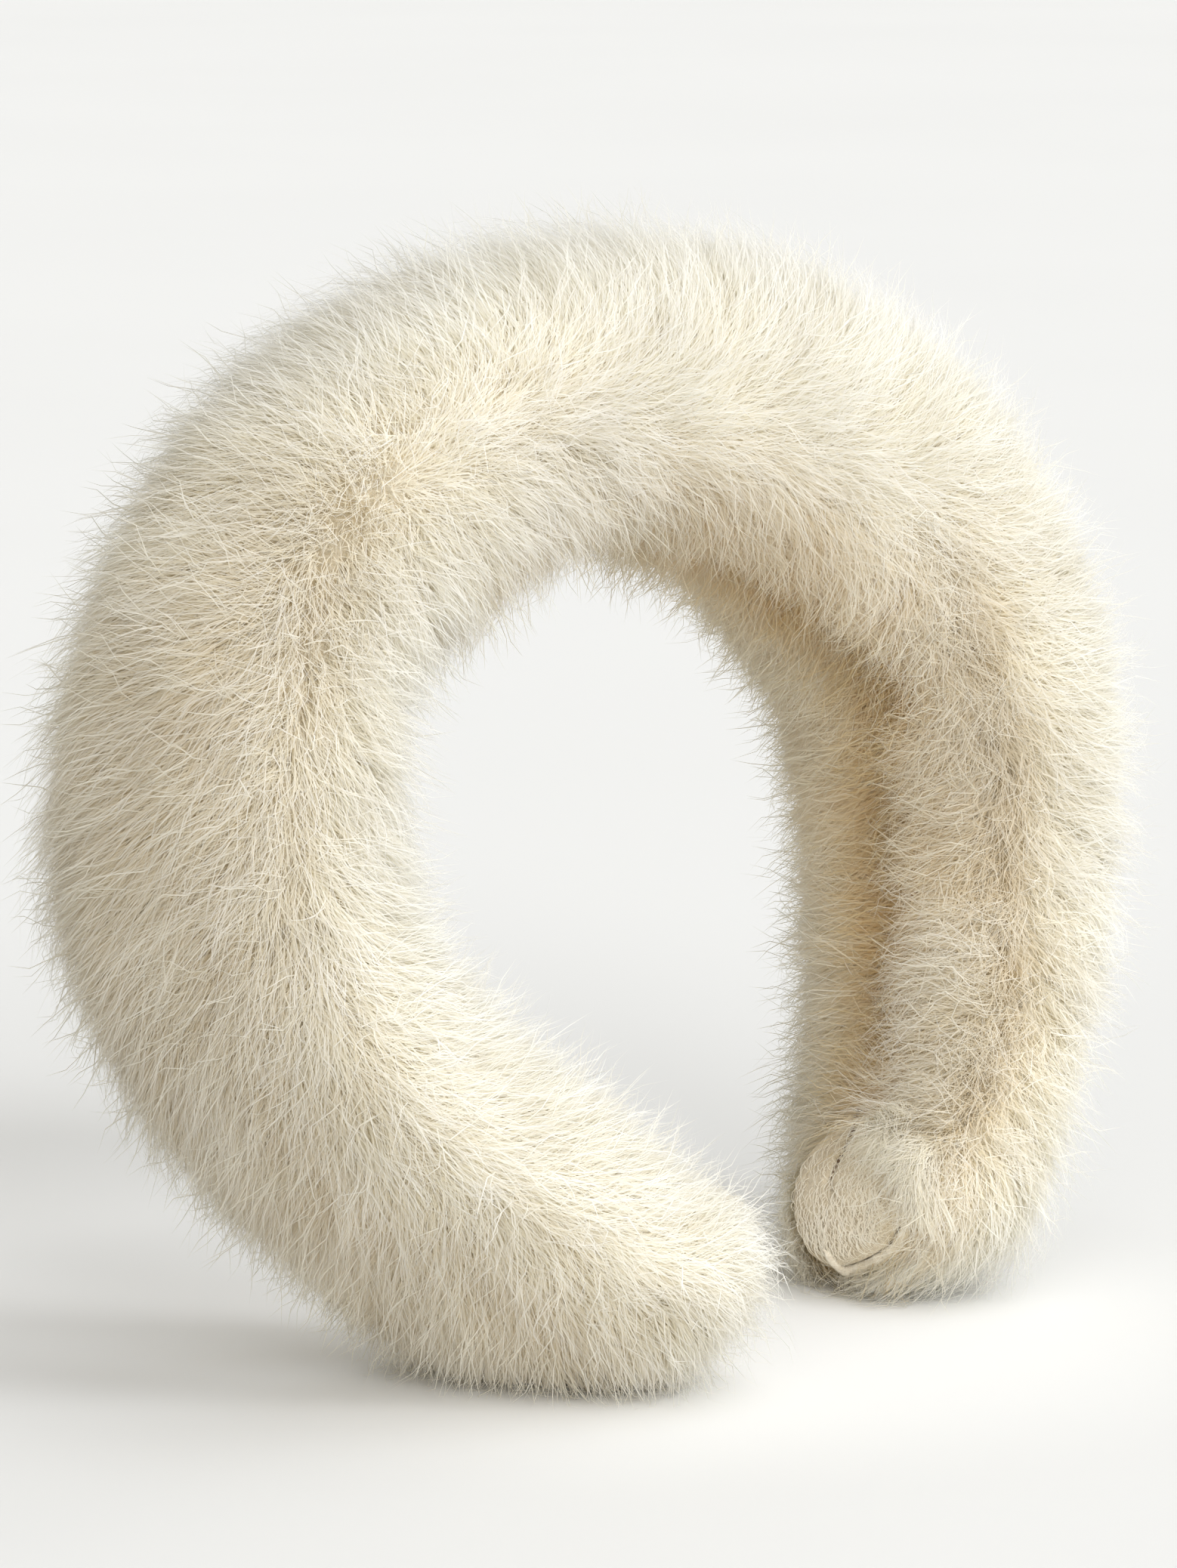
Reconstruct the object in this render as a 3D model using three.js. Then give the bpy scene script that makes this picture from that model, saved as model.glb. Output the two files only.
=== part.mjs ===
// Plush headband: one padded, fur covered band bent into a C, standing on its two ends,
// with a cloth tab and a rolled edging set into the inner face of each end. Millimetres, +Z up, front to -Y.
import * as THREE from "three";

// ---- driving dimensions ----
const BAND_RADIUS = 80; // half width of the centre line
const RISE = 66; // height of the centre line's top above its widest point
const SHOULDER = 2.8; // how far the upper arcs stand out past an ellipse
const LEGS = {
  // sweep in degrees from the top to the end, drop below the widest point,
  // how far the lower leg draws in, and how much wider its end is than the table says
  left: { sweep: 160, drop: 80.5, pinch: 33.5, wider: 4 },
  right: { sweep: 146, drop: 92, pinch: 12, wider: -7 },
};
const LEAN = 0.12; // backward slope of the band's plane
const FORWARD = 20.5; // how far the two ends curl to the front
const TWIST = 4; // one end ahead of the other
const STATIONS = [
  // share of the way from the top to an end, width front to back, thickness outer to inner
  { at: 0, width: 48, thickness: 45 },
  { at: 0.28, width: 49, thickness: 49 },
  { at: 0.56, width: 59, thickness: 43 },
  { at: 1, width: 57, thickness: 31 },
];
const ROLL = { all: 3, ends: 21 }; // degrees the section turns, everywhere and growing towards the ends
const SECTION_POWER = 2.6; // 2 is an ellipse, more is boxier
const NOSE = 17; // rounding radius of the closed ends
const FOOT_SQUASH = 5.1; // fur pressed flat where an end stands

// closing seam along the inner face; it runs beside the middle, and strays further where the crown turns down
const GROOVE = { depth: 3.4, width: 5.5, aside: -3.5, stray: -5 };
const SWELLS = [
  // broad rises and hollows of the padding: place along the band, spread, share of the way round from the
  // inner middle (minus is to the front), spread, height
  { at: -0.55, span: 0.2, round: -0.125, wide: 0.13, by: -4.2 },
  { at: -0.36, span: 0.1, round: -0.08, wide: 0.13, by: -3.2 },
  { at: 0.36, span: 0.17, round: 0.15, wide: 0.13, by: 5.2 },
  { at: 0.13, span: 0.09, round: 0.1, wide: 0.13, by: 3.6 },
  { at: -0.76, span: 0.16, round: 0.44, wide: 0.16, by: -2.6 },
  { at: -0.83, span: 0.1, round: -0.05, wide: 0.15, by: 3.4 },
];
const LOCK = { length: 24, width: 14, height: 3.8, lay: 0.42 }; // fur locks in relief; lay slants them to the ends
const PARTING = { outer: 16, inner: 20 }; // mm the locks' parting strays off the front edge, left leg and right leg

const TAB = { length: 27, width: 25, thickness: 1.5, centre: 17, recess: 2.6, side: 1 };
const EDGING = { radius: 0.95, clear: 0.45 };
const GAP = 0.3; // between pieces that touch

const RINGS = 112; // stations along the band
const SIDES = 44; // points round a section

// ---- small helpers ----
const clamp = (v, a, b) => Math.min(b, Math.max(a, v));
const smooth = (t) => { const c = clamp(t, 0, 1); return c * c * (3 - 2 * c); };
const rad = THREE.MathUtils.degToRad;
const signed = (v, power) => Math.sign(v) * Math.abs(v) ** power;
const vec = (x, y, z) => new THREE.Vector3(x, y, z);

// repeatable noise in 0..1 from two whole numbers
function noise(i, j) {
  const s = Math.sin(i * 127.1 + j * 311.7 + 11.3) * 43758.5453;
  return s - Math.floor(s);
}

function byStation(key, share) {
  const i = clamp(STATIONS.findIndex((s) => s.at >= share), 1, STATIONS.length - 1);
  const a = STATIONS[i - 1], b = STATIONS[i];
  return a[key] + (b[key] - a[key]) * smooth((share - a.at) / (b.at - a.at));
}

// ---- centre line, u from -1 (left end) to 1 (right end) ----
function centre(u) {
  const leg = u < 0 ? LEGS.left : LEGS.right;
  const th = rad(u * leg.sweep), up = Math.cos(th);
  const low = clamp(-up, 0, 1) ** 2;
  const z = (up > 0 ? RISE : leg.drop) * up;
  const out = BAND_RADIUS + (up > 0 ? SHOULDER * Math.sin(2 * th) ** 2 : 0) - leg.pinch * low;
  return vec(out * Math.sin(th), LEAN * z - FORWARD * low + TWIST * u ** 3, z);
}

const FINE = 1440;
const line = [];
for (let i = 0; i <= FINE; i++) line.push(centre(-1 + (2 * i) / FINE));
const run = [0];
for (let i = 1; i <= FINE; i++) run.push(run[i - 1] + line[i].distanceTo(line[i - 1]));
const LENGTH = run[FINE];

function uAt(s) {
  let lo = 0, hi = FINE;
  while (hi - lo > 1) { const m = (lo + hi) >> 1; if (run[m] < s) lo = m; else hi = m; }
  const t = (s - run[lo]) / (run[hi] - run[lo]);
  return -1 + (2 * (lo + clamp(t, 0, 1))) / FINE;
}

// frame of the section at arc length s: origin, along, width axis (to the back), outward axis, half sizes
function section(s) {
  const u = uAt(s), share = Math.abs(u), d = 1 / FINE;
  const along = centre(Math.min(1, u + d)).sub(centre(Math.max(-1, u - d))).normalize();
  const back = vec(0, 1, 0).addScaledVector(along, -along.y).normalize();
  const out = along.clone().cross(back).normalize();
  if (out.dot(centre(u)) < 0) out.negate();
  const roll = rad(ROLL.all + ROLL.ends * share ** 3);
  const wide = back.clone().multiplyScalar(Math.cos(roll)).addScaledVector(out, Math.sin(roll));
  const outward = out.clone().multiplyScalar(Math.cos(roll)).addScaledVector(back, -Math.sin(roll));
  const fromEnd = Math.min(s, LENGTH - s);
  const arc = Math.sqrt(clamp(1 - (1 - clamp(fromEnd / NOSE, 0, 1)) ** 2, 0, 1));
  const halfT = byStation("thickness", share) / 2;
  const wider = ((u < 0 ? LEGS.left : LEGS.right).wider / 2) * smooth((share - 0.5) / 0.5);
  const shrink = Math.min(NOSE, halfT * 0.96) * (1 - arc);
  return {
    u, s, fromEnd, origin: centre(u), along, wide, outward,
    halfW: byStation("width", share) / 2 + wider - shrink, halfT: halfT - shrink,
  };
}

// outline of a section as points spaced evenly round it, the first at the middle of the inner face
function outline(sec, count) {
  const dense = 720, q = 2 / SECTION_POWER, pts = [], len = [0];
  for (let i = 0; i <= dense; i++) {
    const a = -Math.PI / 2 + (i / dense) * 2 * Math.PI;
    pts.push([sec.halfW * signed(Math.cos(a), q), sec.halfT * signed(Math.sin(a), q)]);
    if (i) len.push(len[i - 1] + Math.hypot(pts[i][0] - pts[i - 1][0], pts[i][1] - pts[i - 1][1]));
  }
  const total = len[dense], found = [];
  for (let k = 0, i = 0; k < count; k++) {
    const want = (k / count) * total;
    while (len[i + 1] < want) i++;
    const t = (want - len[i]) / Math.max(1e-9, len[i + 1] - len[i]);
    const x = pts[i][0] + (pts[i + 1][0] - pts[i][0]) * t, y = pts[i][1] + (pts[i + 1][1] - pts[i][1]) * t;
    // outward normal of the section curve
    const nx = signed(x / sec.halfW, SECTION_POWER - 1) / sec.halfW;
    const ny = signed(y / sec.halfT, SECTION_POWER - 1) / sec.halfT;
    const n = Math.hypot(nx, ny) || 1;
    found.push({ x, y, nx: nx / n, ny: ny / n, round: want <= total / 2 ? want : want - total });
  }
  return { found, total };
}

// ---- locks in relief ----
// Height of the locks at a point: s along the band, q the distance round the section from the parting.
// Locks point away from the parting on both sides and slant towards the nearer end.
function lockHeight(s, q, side) {
  const towardsEnd = s < LENGTH / 2 ? -1 : 1;
  const row = LOCK.length * 0.62, cell = LOCK.width * 0.86;
  const r0 = Math.floor(q / row);
  let high = 0;
  for (let r = r0 - 1; r <= r0; r++) {
    const c0 = Math.round(s / cell);
    for (let c = c0 - 2; c <= c0 + 2; c++) {
      const key = r * 3 + side;
      const rootQ = (r + 0.5 * noise(key, c)) * row;
      const rootS = (c + 0.5 * (r & 1) + 0.5 * (noise(c, key + 40) - 0.5)) * cell;
      const long = LOCK.length * (0.8 + 0.4 * noise(c + 7, key));
      const a = (q - rootQ) / long;
      if (a < 0 || a > 1) continue;
      const wander = (noise(c + 3, key + 9) - 0.5) * 0.5;
      const b = (s - rootS - towardsEnd * (LOCK.lay + wander) * (q - rootQ)) / (LOCK.width * 0.62 * (1 - 0.7 * a * a));
      if (Math.abs(b) >= 1) continue;
      high = Math.max(high, (0.25 + 0.75 * a) * (1 - b * b) ** 0.6 * (0.75 + 0.5 * noise(key + 5, c + 5)));
    }
  }
  return LOCK.height * high;
}

// distance from the tab's outline, in its own flattened plane: under 1 is inside
function tabReach(fromTip, across, grow = 0) {
  const a = (fromTip - TAB.centre) / (TAB.length / 2 + grow), b = across / (TAB.width / 2 + grow);
  return (Math.abs(a) ** 2.4 + Math.abs(b) ** 2.4) ** (1 / 2.4);
}

// surface distance from the tip along the inner face, and back
const tipToEnd = (d) => (d < (NOSE * Math.PI) / 2 ? NOSE * (1 - Math.cos(d / NOSE)) : NOSE + d - (NOSE * Math.PI) / 2);
const endToTip = (e) => (e < NOSE ? NOSE * Math.acos(1 - e / NOSE) : (NOSE * Math.PI) / 2 + e - NOSE);

// broad rises and hollows of the padding, level round the tabs
function swell(sec, share) {
  let h = 0;
  for (const s of SWELLS) {
    const far = share - s.round - Math.round(share - s.round);
    h += s.by * Math.exp(-(((sec.u - s.at) / s.span) ** 2) - (far / s.wide) ** 2);
  }
  return h * smooth((sec.fromEnd - 24) / 14);
}

// relief of the fur surface against the plain padded form
function relief(sec, p, total) {
  const half = total / 2;
  const strayed = sec.s < LENGTH / 2 ? PARTING.outer : -PARTING.inner;
  const blend = smooth((Math.abs(sec.s - LENGTH / 2) - 10) / 60);
  // the front edge lies a quarter of the way round from the inner middle, on the negative side
  const parting = -total / 4 - strayed * blend;
  let q = p.round - parting;
  if (q > half) q -= total;
  if (q < -half) q += total;
  const reach = Math.abs(q);
  const meet = smooth((half - reach) / 9); // the two lays die away where they meet at the back
  const seam = GROOVE.aside + GROOVE.stray * Math.exp(-(((Math.abs(sec.u) - 0.45) / 0.16) ** 2));
  const inner = Math.exp(-(((p.round - seam) / GROOVE.width) ** 2) * 1.4);
  const tip = smooth((sec.fromEnd - 1.5) / 12);
  let h = lockHeight(sec.s, reach, q > 0 ? 1 : 2) * (0.45 + 0.55 * meet) * tip - LOCK.height * 0.42;
  h = h * (1 - inner) - GROOVE.depth * inner * smooth((sec.fromEnd - TAB.length) / 8);
  h = (h + swell(sec, p.round / total)) * smooth(sec.fromEnd / 4);
  const fromTip = endToTip(sec.fromEnd) * (p.y < 0 ? 1 : -1);
  const into = 1 - smooth((tabReach(fromTip, p.x, 4) - 0.99) / 0.3);
  return h * (1 - into) - TAB.recess * into;
}

// ---- fur cover ----
const places = [];
const noseSteps = 7, middle = RINGS - 2 * noseSteps;
for (let k = 1; k <= noseSteps; k++) places.push(NOSE * (1 - Math.cos((k / noseSteps) * (Math.PI / 2))));
for (let k = 1; k <= middle; k++) places.push(NOSE + ((LENGTH - 2 * NOSE) * k) / (middle + 1));
for (let k = noseSteps - 1; k >= 0; k--) places.push(LENGTH - places[k]);

const plain = places.map((s) => {
  const sec = section(s);
  const { found, total } = outline(sec, SIDES);
  return found.map((p) => ({
    at: sec.origin.clone().addScaledVector(sec.wide, p.x).addScaledVector(sec.outward, p.y),
    lift: relief(sec, p, total),
    flat: sec.outward.clone().multiplyScalar(p.ny).addScaledVector(sec.wide, p.nx),
  }));
});
const tips = [0, LENGTH].map((s) => section(s).origin);

const pos = [], idx = [];
const rings = places.length;
for (let i = 0; i < rings; i++) {
  for (let j = 0; j < SIDES; j++) {
    const before = i ? plain[i - 1][j].at : tips[0], after = i < rings - 1 ? plain[i + 1][j].at : tips[1];
    const along = after.clone().sub(before);
    const round = plain[i][(j + 1) % SIDES].at.clone().sub(plain[i][(j + SIDES - 1) % SIDES].at);
    const normal = round.cross(along).normalize();
    if (normal.dot(plain[i][j].flat) < 0) normal.negate();
    const v = plain[i][j].at.clone().addScaledVector(normal, plain[i][j].lift);
    pos.push(v.x, v.y, v.z);
  }
}
for (let i = 0; i < rings - 1; i++) {
  for (let j = 0; j < SIDES; j++) {
    const k = (j + 1) % SIDES, a = i * SIDES;
    idx.push(a + j, a + SIDES + j, a + SIDES + k, a + j, a + SIDES + k, a + k);
  }
}
for (const end of [0, 1]) {
  const inward = section(end * LENGTH).along.multiplyScalar(end ? -1 : 1);
  const o = tips[end].clone().addScaledVector(inward, TAB.recess * 0.45);
  const tipIndex = pos.length / 3, base = end ? (rings - 1) * SIDES : 0;
  pos.push(o.x, o.y, o.z);
  for (let j = 0; j < SIDES; j++) {
    const k = (j + 1) % SIDES;
    idx.push(...(end ? [base + j, tipIndex, base + k] : [base + k, tipIndex, base + j]));
  }
}

// the level each leg reaches; both are pressed flat on one floor
const lowest = [Infinity, Infinity];
for (let i = 0; i < pos.length; i += 3) {
  const leg = pos[i] < 0 ? 0 : 1;
  lowest[leg] = Math.min(lowest[leg], pos[i + 2]);
}
const FLOOR = Math.max(...lowest) + FOOT_SQUASH;
for (let i = 2; i < pos.length; i += 3) pos[i] = Math.max(pos[i], FLOOR);

function meshOf(name, positions, indices, material) {
  const g = new THREE.BufferGeometry();
  g.setAttribute("position", new THREE.Float32BufferAttribute(positions, 3));
  // wind every body facing out
  let volume = 0;
  const at = (i) => vec(positions[3 * i], positions[3 * i + 1], positions[3 * i + 2]);
  for (let i = 0; i < indices.length; i += 3) {
    volume += at(indices[i]).dot(at(indices[i + 1]).cross(at(indices[i + 2])));
  }
  const order = [...indices];
  if (volume < 0) for (let i = 0; i < order.length; i += 3) [order[i + 1], order[i + 2]] = [order[i + 2], order[i + 1]];
  g.setIndex(order);
  g.computeVertexNormals();
  const m = new THREE.Mesh(g, material);
  m.name = name;
  return m;
}

// ---- cloth tab and its edging ----
// point on the padded form's inner face: d from the tip along the face, b across it, lifted off by h
function innerFace(right, d, b, h) {
  const e = Math.max(0.02, tipToEnd(d));
  const sec = section(right ? LENGTH - e : e);
  const bx = clamp(b / sec.halfW, -0.98, 0.98);
  const y = -sec.halfT * (1 - Math.abs(bx) ** SECTION_POWER) ** (1 / SECTION_POWER);
  return sec.origin.clone().addScaledVector(sec.wide, b).addScaledVector(sec.outward, y).addScaledVector(faceNormal(right, d, b), h);
}

function faceNormal(right, d, b) {
  const w = 0.8;
  const point = (dd, bb) => {
    const e = Math.max(0.02, tipToEnd(dd));
    const sec = section(right ? LENGTH - e : e);
    const bx = clamp(bb / sec.halfW, -0.98, 0.98);
    const y = -sec.halfT * (1 - Math.abs(bx) ** SECTION_POWER) ** (1 / SECTION_POWER);
    return sec.origin.clone().addScaledVector(sec.wide, bb).addScaledVector(sec.outward, y);
  };
  const n = point(d + w, b).sub(point(Math.max(0.1, d - w), b)).cross(point(d, b + w).sub(point(d, b - w))).normalize();
  const e = Math.max(0.02, tipToEnd(d));
  const sec = section(right ? LENGTH - e : e);
  const inward = sec.outward.clone().negate().addScaledVector(sec.along, right ? 0.4 : -0.4);
  return n.dot(inward) < 0 ? n.negate() : n;
}

// the tab's outline at angle a: 0 points away from the tip, a quarter turn on is the back edge
function tabOutline(a, grow = 0, share = 1) {
  const q = 2 / 2.4;
  return {
    d: TAB.centre + share * (TAB.length / 2 + grow) * signed(Math.cos(a), q),
    b: share * (TAB.width / 2 + grow) * signed(Math.sin(a), q),
  };
}

function tab(name, right, material) {
  const around = 28, shares = [0.3, 0.6, 0.86, 1];
  const p = [], f = [];
  const seat = -TAB.recess + GAP + 0.15;
  const level = (share, top) => {
    const drop = share < 0.9 ? 0 : share < 1 ? 0.1 : 0.45;
    return top ? seat + TAB.thickness + 0.5 * (1 - share * share) - drop : seat + (share === 1 ? 0.3 : 0);
  };
  const add = (v) => { p.push(v.x, v.y, v.z); return p.length / 3 - 1; };
  for (const top of [true, false]) {
    add(innerFace(right, TAB.centre, 0, level(0, top)));
    for (const share of shares) {
      for (let k = 0; k < around; k++) {
        const { d, b } = tabOutline((k / around) * 2 * Math.PI, 0, share);
        add(innerFace(right, d, b, level(share, top)));
      }
    }
  }
  const sheet = 1 + shares.length * around;
  for (const flip of [0, 1]) {
    const o = flip * sheet;
    const tri = (a, b, c) => f.push(...(flip ? [o + a, o + c, o + b] : [o + a, o + b, o + c]));
    for (let k = 0; k < around; k++) {
      const n = (k + 1) % around;
      tri(0, 1 + k, 1 + n);
      for (let r = 0; r < shares.length - 1; r++) {
        const a = 1 + r * around, b = a + around;
        tri(a + k, b + k, b + n);
        tri(a + k, b + n, a + n);
      }
    }
  }
  const rim = 1 + (shares.length - 1) * around;
  for (let k = 0; k < around; k++) {
    const n = (k + 1) % around;
    f.push(rim + k, sheet + rim + k, sheet + rim + n, rim + k, sheet + rim + n, rim + n);
  }
  return meshOf(name, p, f, material);
}

// a thin roll of the same cloth round the tip side of the tab, from its front edge to below its middle
function edging(name, right, material) {
  const steps = 26, sides = 8, p = [], f = [];
  const out = EDGING.radius + EDGING.clear;
  const lift = -TAB.recess + GAP + 0.2 + EDGING.radius;
  const path = [];
  for (let k = 0; k <= steps; k++) {
    const { d, b } = tabOutline(rad(-72 - (150 * k) / steps), out);
    path.push(innerFace(right, d, b, lift));
  }
  for (let k = 0; k <= steps; k++) {
    const dir = path[Math.min(steps, k + 1)].clone().sub(path[Math.max(0, k - 1)]).normalize();
    const { d, b } = tabOutline(rad(-72 - (150 * k) / steps), out);
    const up = faceNormal(right, d, b);
    const across = dir.clone().cross(up).normalize();
    const r = EDGING.radius * (0.55 + 0.45 * smooth(Math.min(k, steps - k) / 3));
    for (let j = 0; j < sides; j++) {
      const a = (j / sides) * 2 * Math.PI;
      const v = path[k].clone().addScaledVector(across, r * Math.cos(a)).addScaledVector(up, r * Math.sin(a));
      p.push(v.x, v.y, v.z);
    }
  }
  for (let k = 0; k < steps; k++) {
    for (let j = 0; j < sides; j++) {
      const n = (j + 1) % sides, a = k * sides;
      f.push(a + j, a + sides + j, a + sides + n, a + j, a + sides + n, a + n);
    }
  }
  for (const end of [0, steps]) {
    const v = path[end], tipIndex = p.length / 3, a = end * sides;
    p.push(v.x, v.y, v.z);
    for (let j = 0; j < sides; j++) {
      const n = (j + 1) % sides;
      f.push(...(end ? [a + j, tipIndex, a + n] : [a + n, tipIndex, a + j]));
    }
  }
  return meshOf(name, p, f, material);
}

// ---- assembly ----
const fur = new THREE.MeshStandardMaterial({ name: "fur", color: "#efe6cf", roughness: 0.95 });
const cloth = new THREE.MeshStandardMaterial({ name: "cloth", color: "#cdbfa5", roughness: 0.9 });

const group = new THREE.Group();
group.add(meshOf("fur_cover", pos, idx, fur));
for (const right of [false, true]) {
  const side = right ? "right" : "left";
  group.add(tab("end_tab_" + side, right, cloth));
  group.add(edging("tab_edging_" + side, right, cloth));
}

// origin at the middle of the footprint, on the floor
const box = new THREE.Box3().setFromObject(group);
group.position.set(-(box.min.x + box.max.x) / 2, -(box.min.y + box.max.y) / 2, -box.min.z);

export default group;
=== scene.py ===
"""Plush headband: a padded band covered in deep cream fur, standing on its two ends.

Sizes inside the classes are millimetres, in the form's own frame. Meshes are written in metres, in the frame
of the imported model. Colours are linear, shares run from 0 to 1, and u is a place along the band from -1 at
its left end to 1 at its right end.
"""

import logging
import math
from dataclasses import dataclass, field
from enum import Enum

import bpy
import numpy as np
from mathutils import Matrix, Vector


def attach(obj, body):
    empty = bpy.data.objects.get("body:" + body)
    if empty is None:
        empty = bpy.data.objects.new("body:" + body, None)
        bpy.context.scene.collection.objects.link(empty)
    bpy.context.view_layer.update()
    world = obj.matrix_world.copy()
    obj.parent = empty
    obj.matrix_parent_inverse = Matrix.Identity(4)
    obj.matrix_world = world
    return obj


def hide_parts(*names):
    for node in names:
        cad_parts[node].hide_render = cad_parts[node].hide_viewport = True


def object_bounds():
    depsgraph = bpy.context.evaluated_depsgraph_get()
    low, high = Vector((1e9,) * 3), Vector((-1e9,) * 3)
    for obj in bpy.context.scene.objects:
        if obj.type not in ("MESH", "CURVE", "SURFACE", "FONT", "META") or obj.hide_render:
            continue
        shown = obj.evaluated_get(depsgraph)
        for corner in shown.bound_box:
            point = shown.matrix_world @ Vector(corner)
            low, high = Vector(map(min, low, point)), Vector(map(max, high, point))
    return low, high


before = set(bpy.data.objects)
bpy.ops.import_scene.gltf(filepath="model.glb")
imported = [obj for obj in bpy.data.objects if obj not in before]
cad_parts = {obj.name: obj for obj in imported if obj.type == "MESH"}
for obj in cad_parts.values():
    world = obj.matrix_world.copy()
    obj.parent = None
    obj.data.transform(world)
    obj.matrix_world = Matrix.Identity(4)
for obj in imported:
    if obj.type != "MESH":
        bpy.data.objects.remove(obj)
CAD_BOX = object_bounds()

LOG = logging.getLogger("headband")
MM = 0.001
Array = np.ndarray
Colour = tuple[float, float, float]
Socket = bpy.types.NodeSocket


class Side(Enum):
    """Which end of the band a piece belongs to."""

    LEFT = "left"
    RIGHT = "right"


class Cut(Enum):
    """How finely a strand is divided along its length."""

    WHOLE = 1
    HALVES = 2
    THIRDS = 3


def smooth(t: Array) -> Array:
    """Eases t from 0 to 1 with level ends."""
    c = np.clip(t, 0.0, 1.0)
    return c * c * (3.0 - 2.0 * c)


def unit(v: Array) -> Array:
    """Scales each vector in the last axis to length 1."""
    return v / np.maximum(np.linalg.norm(v, axis=-1, keepdims=True), 1e-12)


def hump(x: Array, middle: Array | float, wide: float) -> Array:
    """A soft hump, 1 at its middle and about a third at wide from it."""
    return np.exp(-(((x - middle) / wide) ** 2))


def plateau(x: Array, wide: float) -> Array:
    """A flat-topped hump about 0 that falls off round wide."""
    return np.exp(-((x / wide) ** 4))


def half_turn(share: Array) -> Array:
    """Brings a share of the way round to -0.5..0.5."""
    return np.mod(share + 0.5, 1.0) - 0.5


def ease_power(turn: Array, power: float) -> tuple[Array, Array]:
    """Cosine and sine of a turn, bent from a circle to a boxier round; power 2 is the circle."""
    cos, sin = np.cos(turn), np.sin(turn)
    return np.sign(cos) * np.abs(cos) ** (2 / power), np.sign(sin) * np.abs(sin) ** (2 / power)


@dataclass(frozen=True)
class Ease:
    """A value that eases from 0 at start to 1 once over has gone by; a minus over eases the other way."""

    start: float
    over: float

    def __call__(self, x: Array) -> Array:
        """The eased value at x."""
        return smooth((x - self.start) / self.over)


@dataclass(frozen=True)
class Line:
    """A straight rule: a value at 0, and by how much it grows up to 1."""

    at: float
    by: float

    def __call__(self, x: Array | float) -> Array | float:
        """The value at x."""
        return self.at + self.by * x


# ---------------------------------------------------------------- form


@dataclass(frozen=True)
class Leg:
    """One half of the band, from its top to its end.

    Attributes:
        sweep: degrees from the top to the end.
        drop: depth the lower arc would reach below the widest point.
        pinch: how far the lower leg draws in.
        wider: how much wider the end is than the stations say.
    """

    sweep: float
    drop: float
    pinch: float
    wider: float


@dataclass(frozen=True)
class Station:
    """Size of the band's section at a share of the way from the top to an end."""

    at: float
    width: float
    thickness: float


@dataclass(frozen=True)
class Swell:
    """A broad rise or hollow of the padding.

    Attributes:
        at, span: place along the band from -1 to 1, and how far it spreads.
        round, wide: share of the way round from the inner middle, and how far it spreads.
        by: its height in mm.
    """

    at: float
    span: float
    round: float
    wide: float
    by: float


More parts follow.
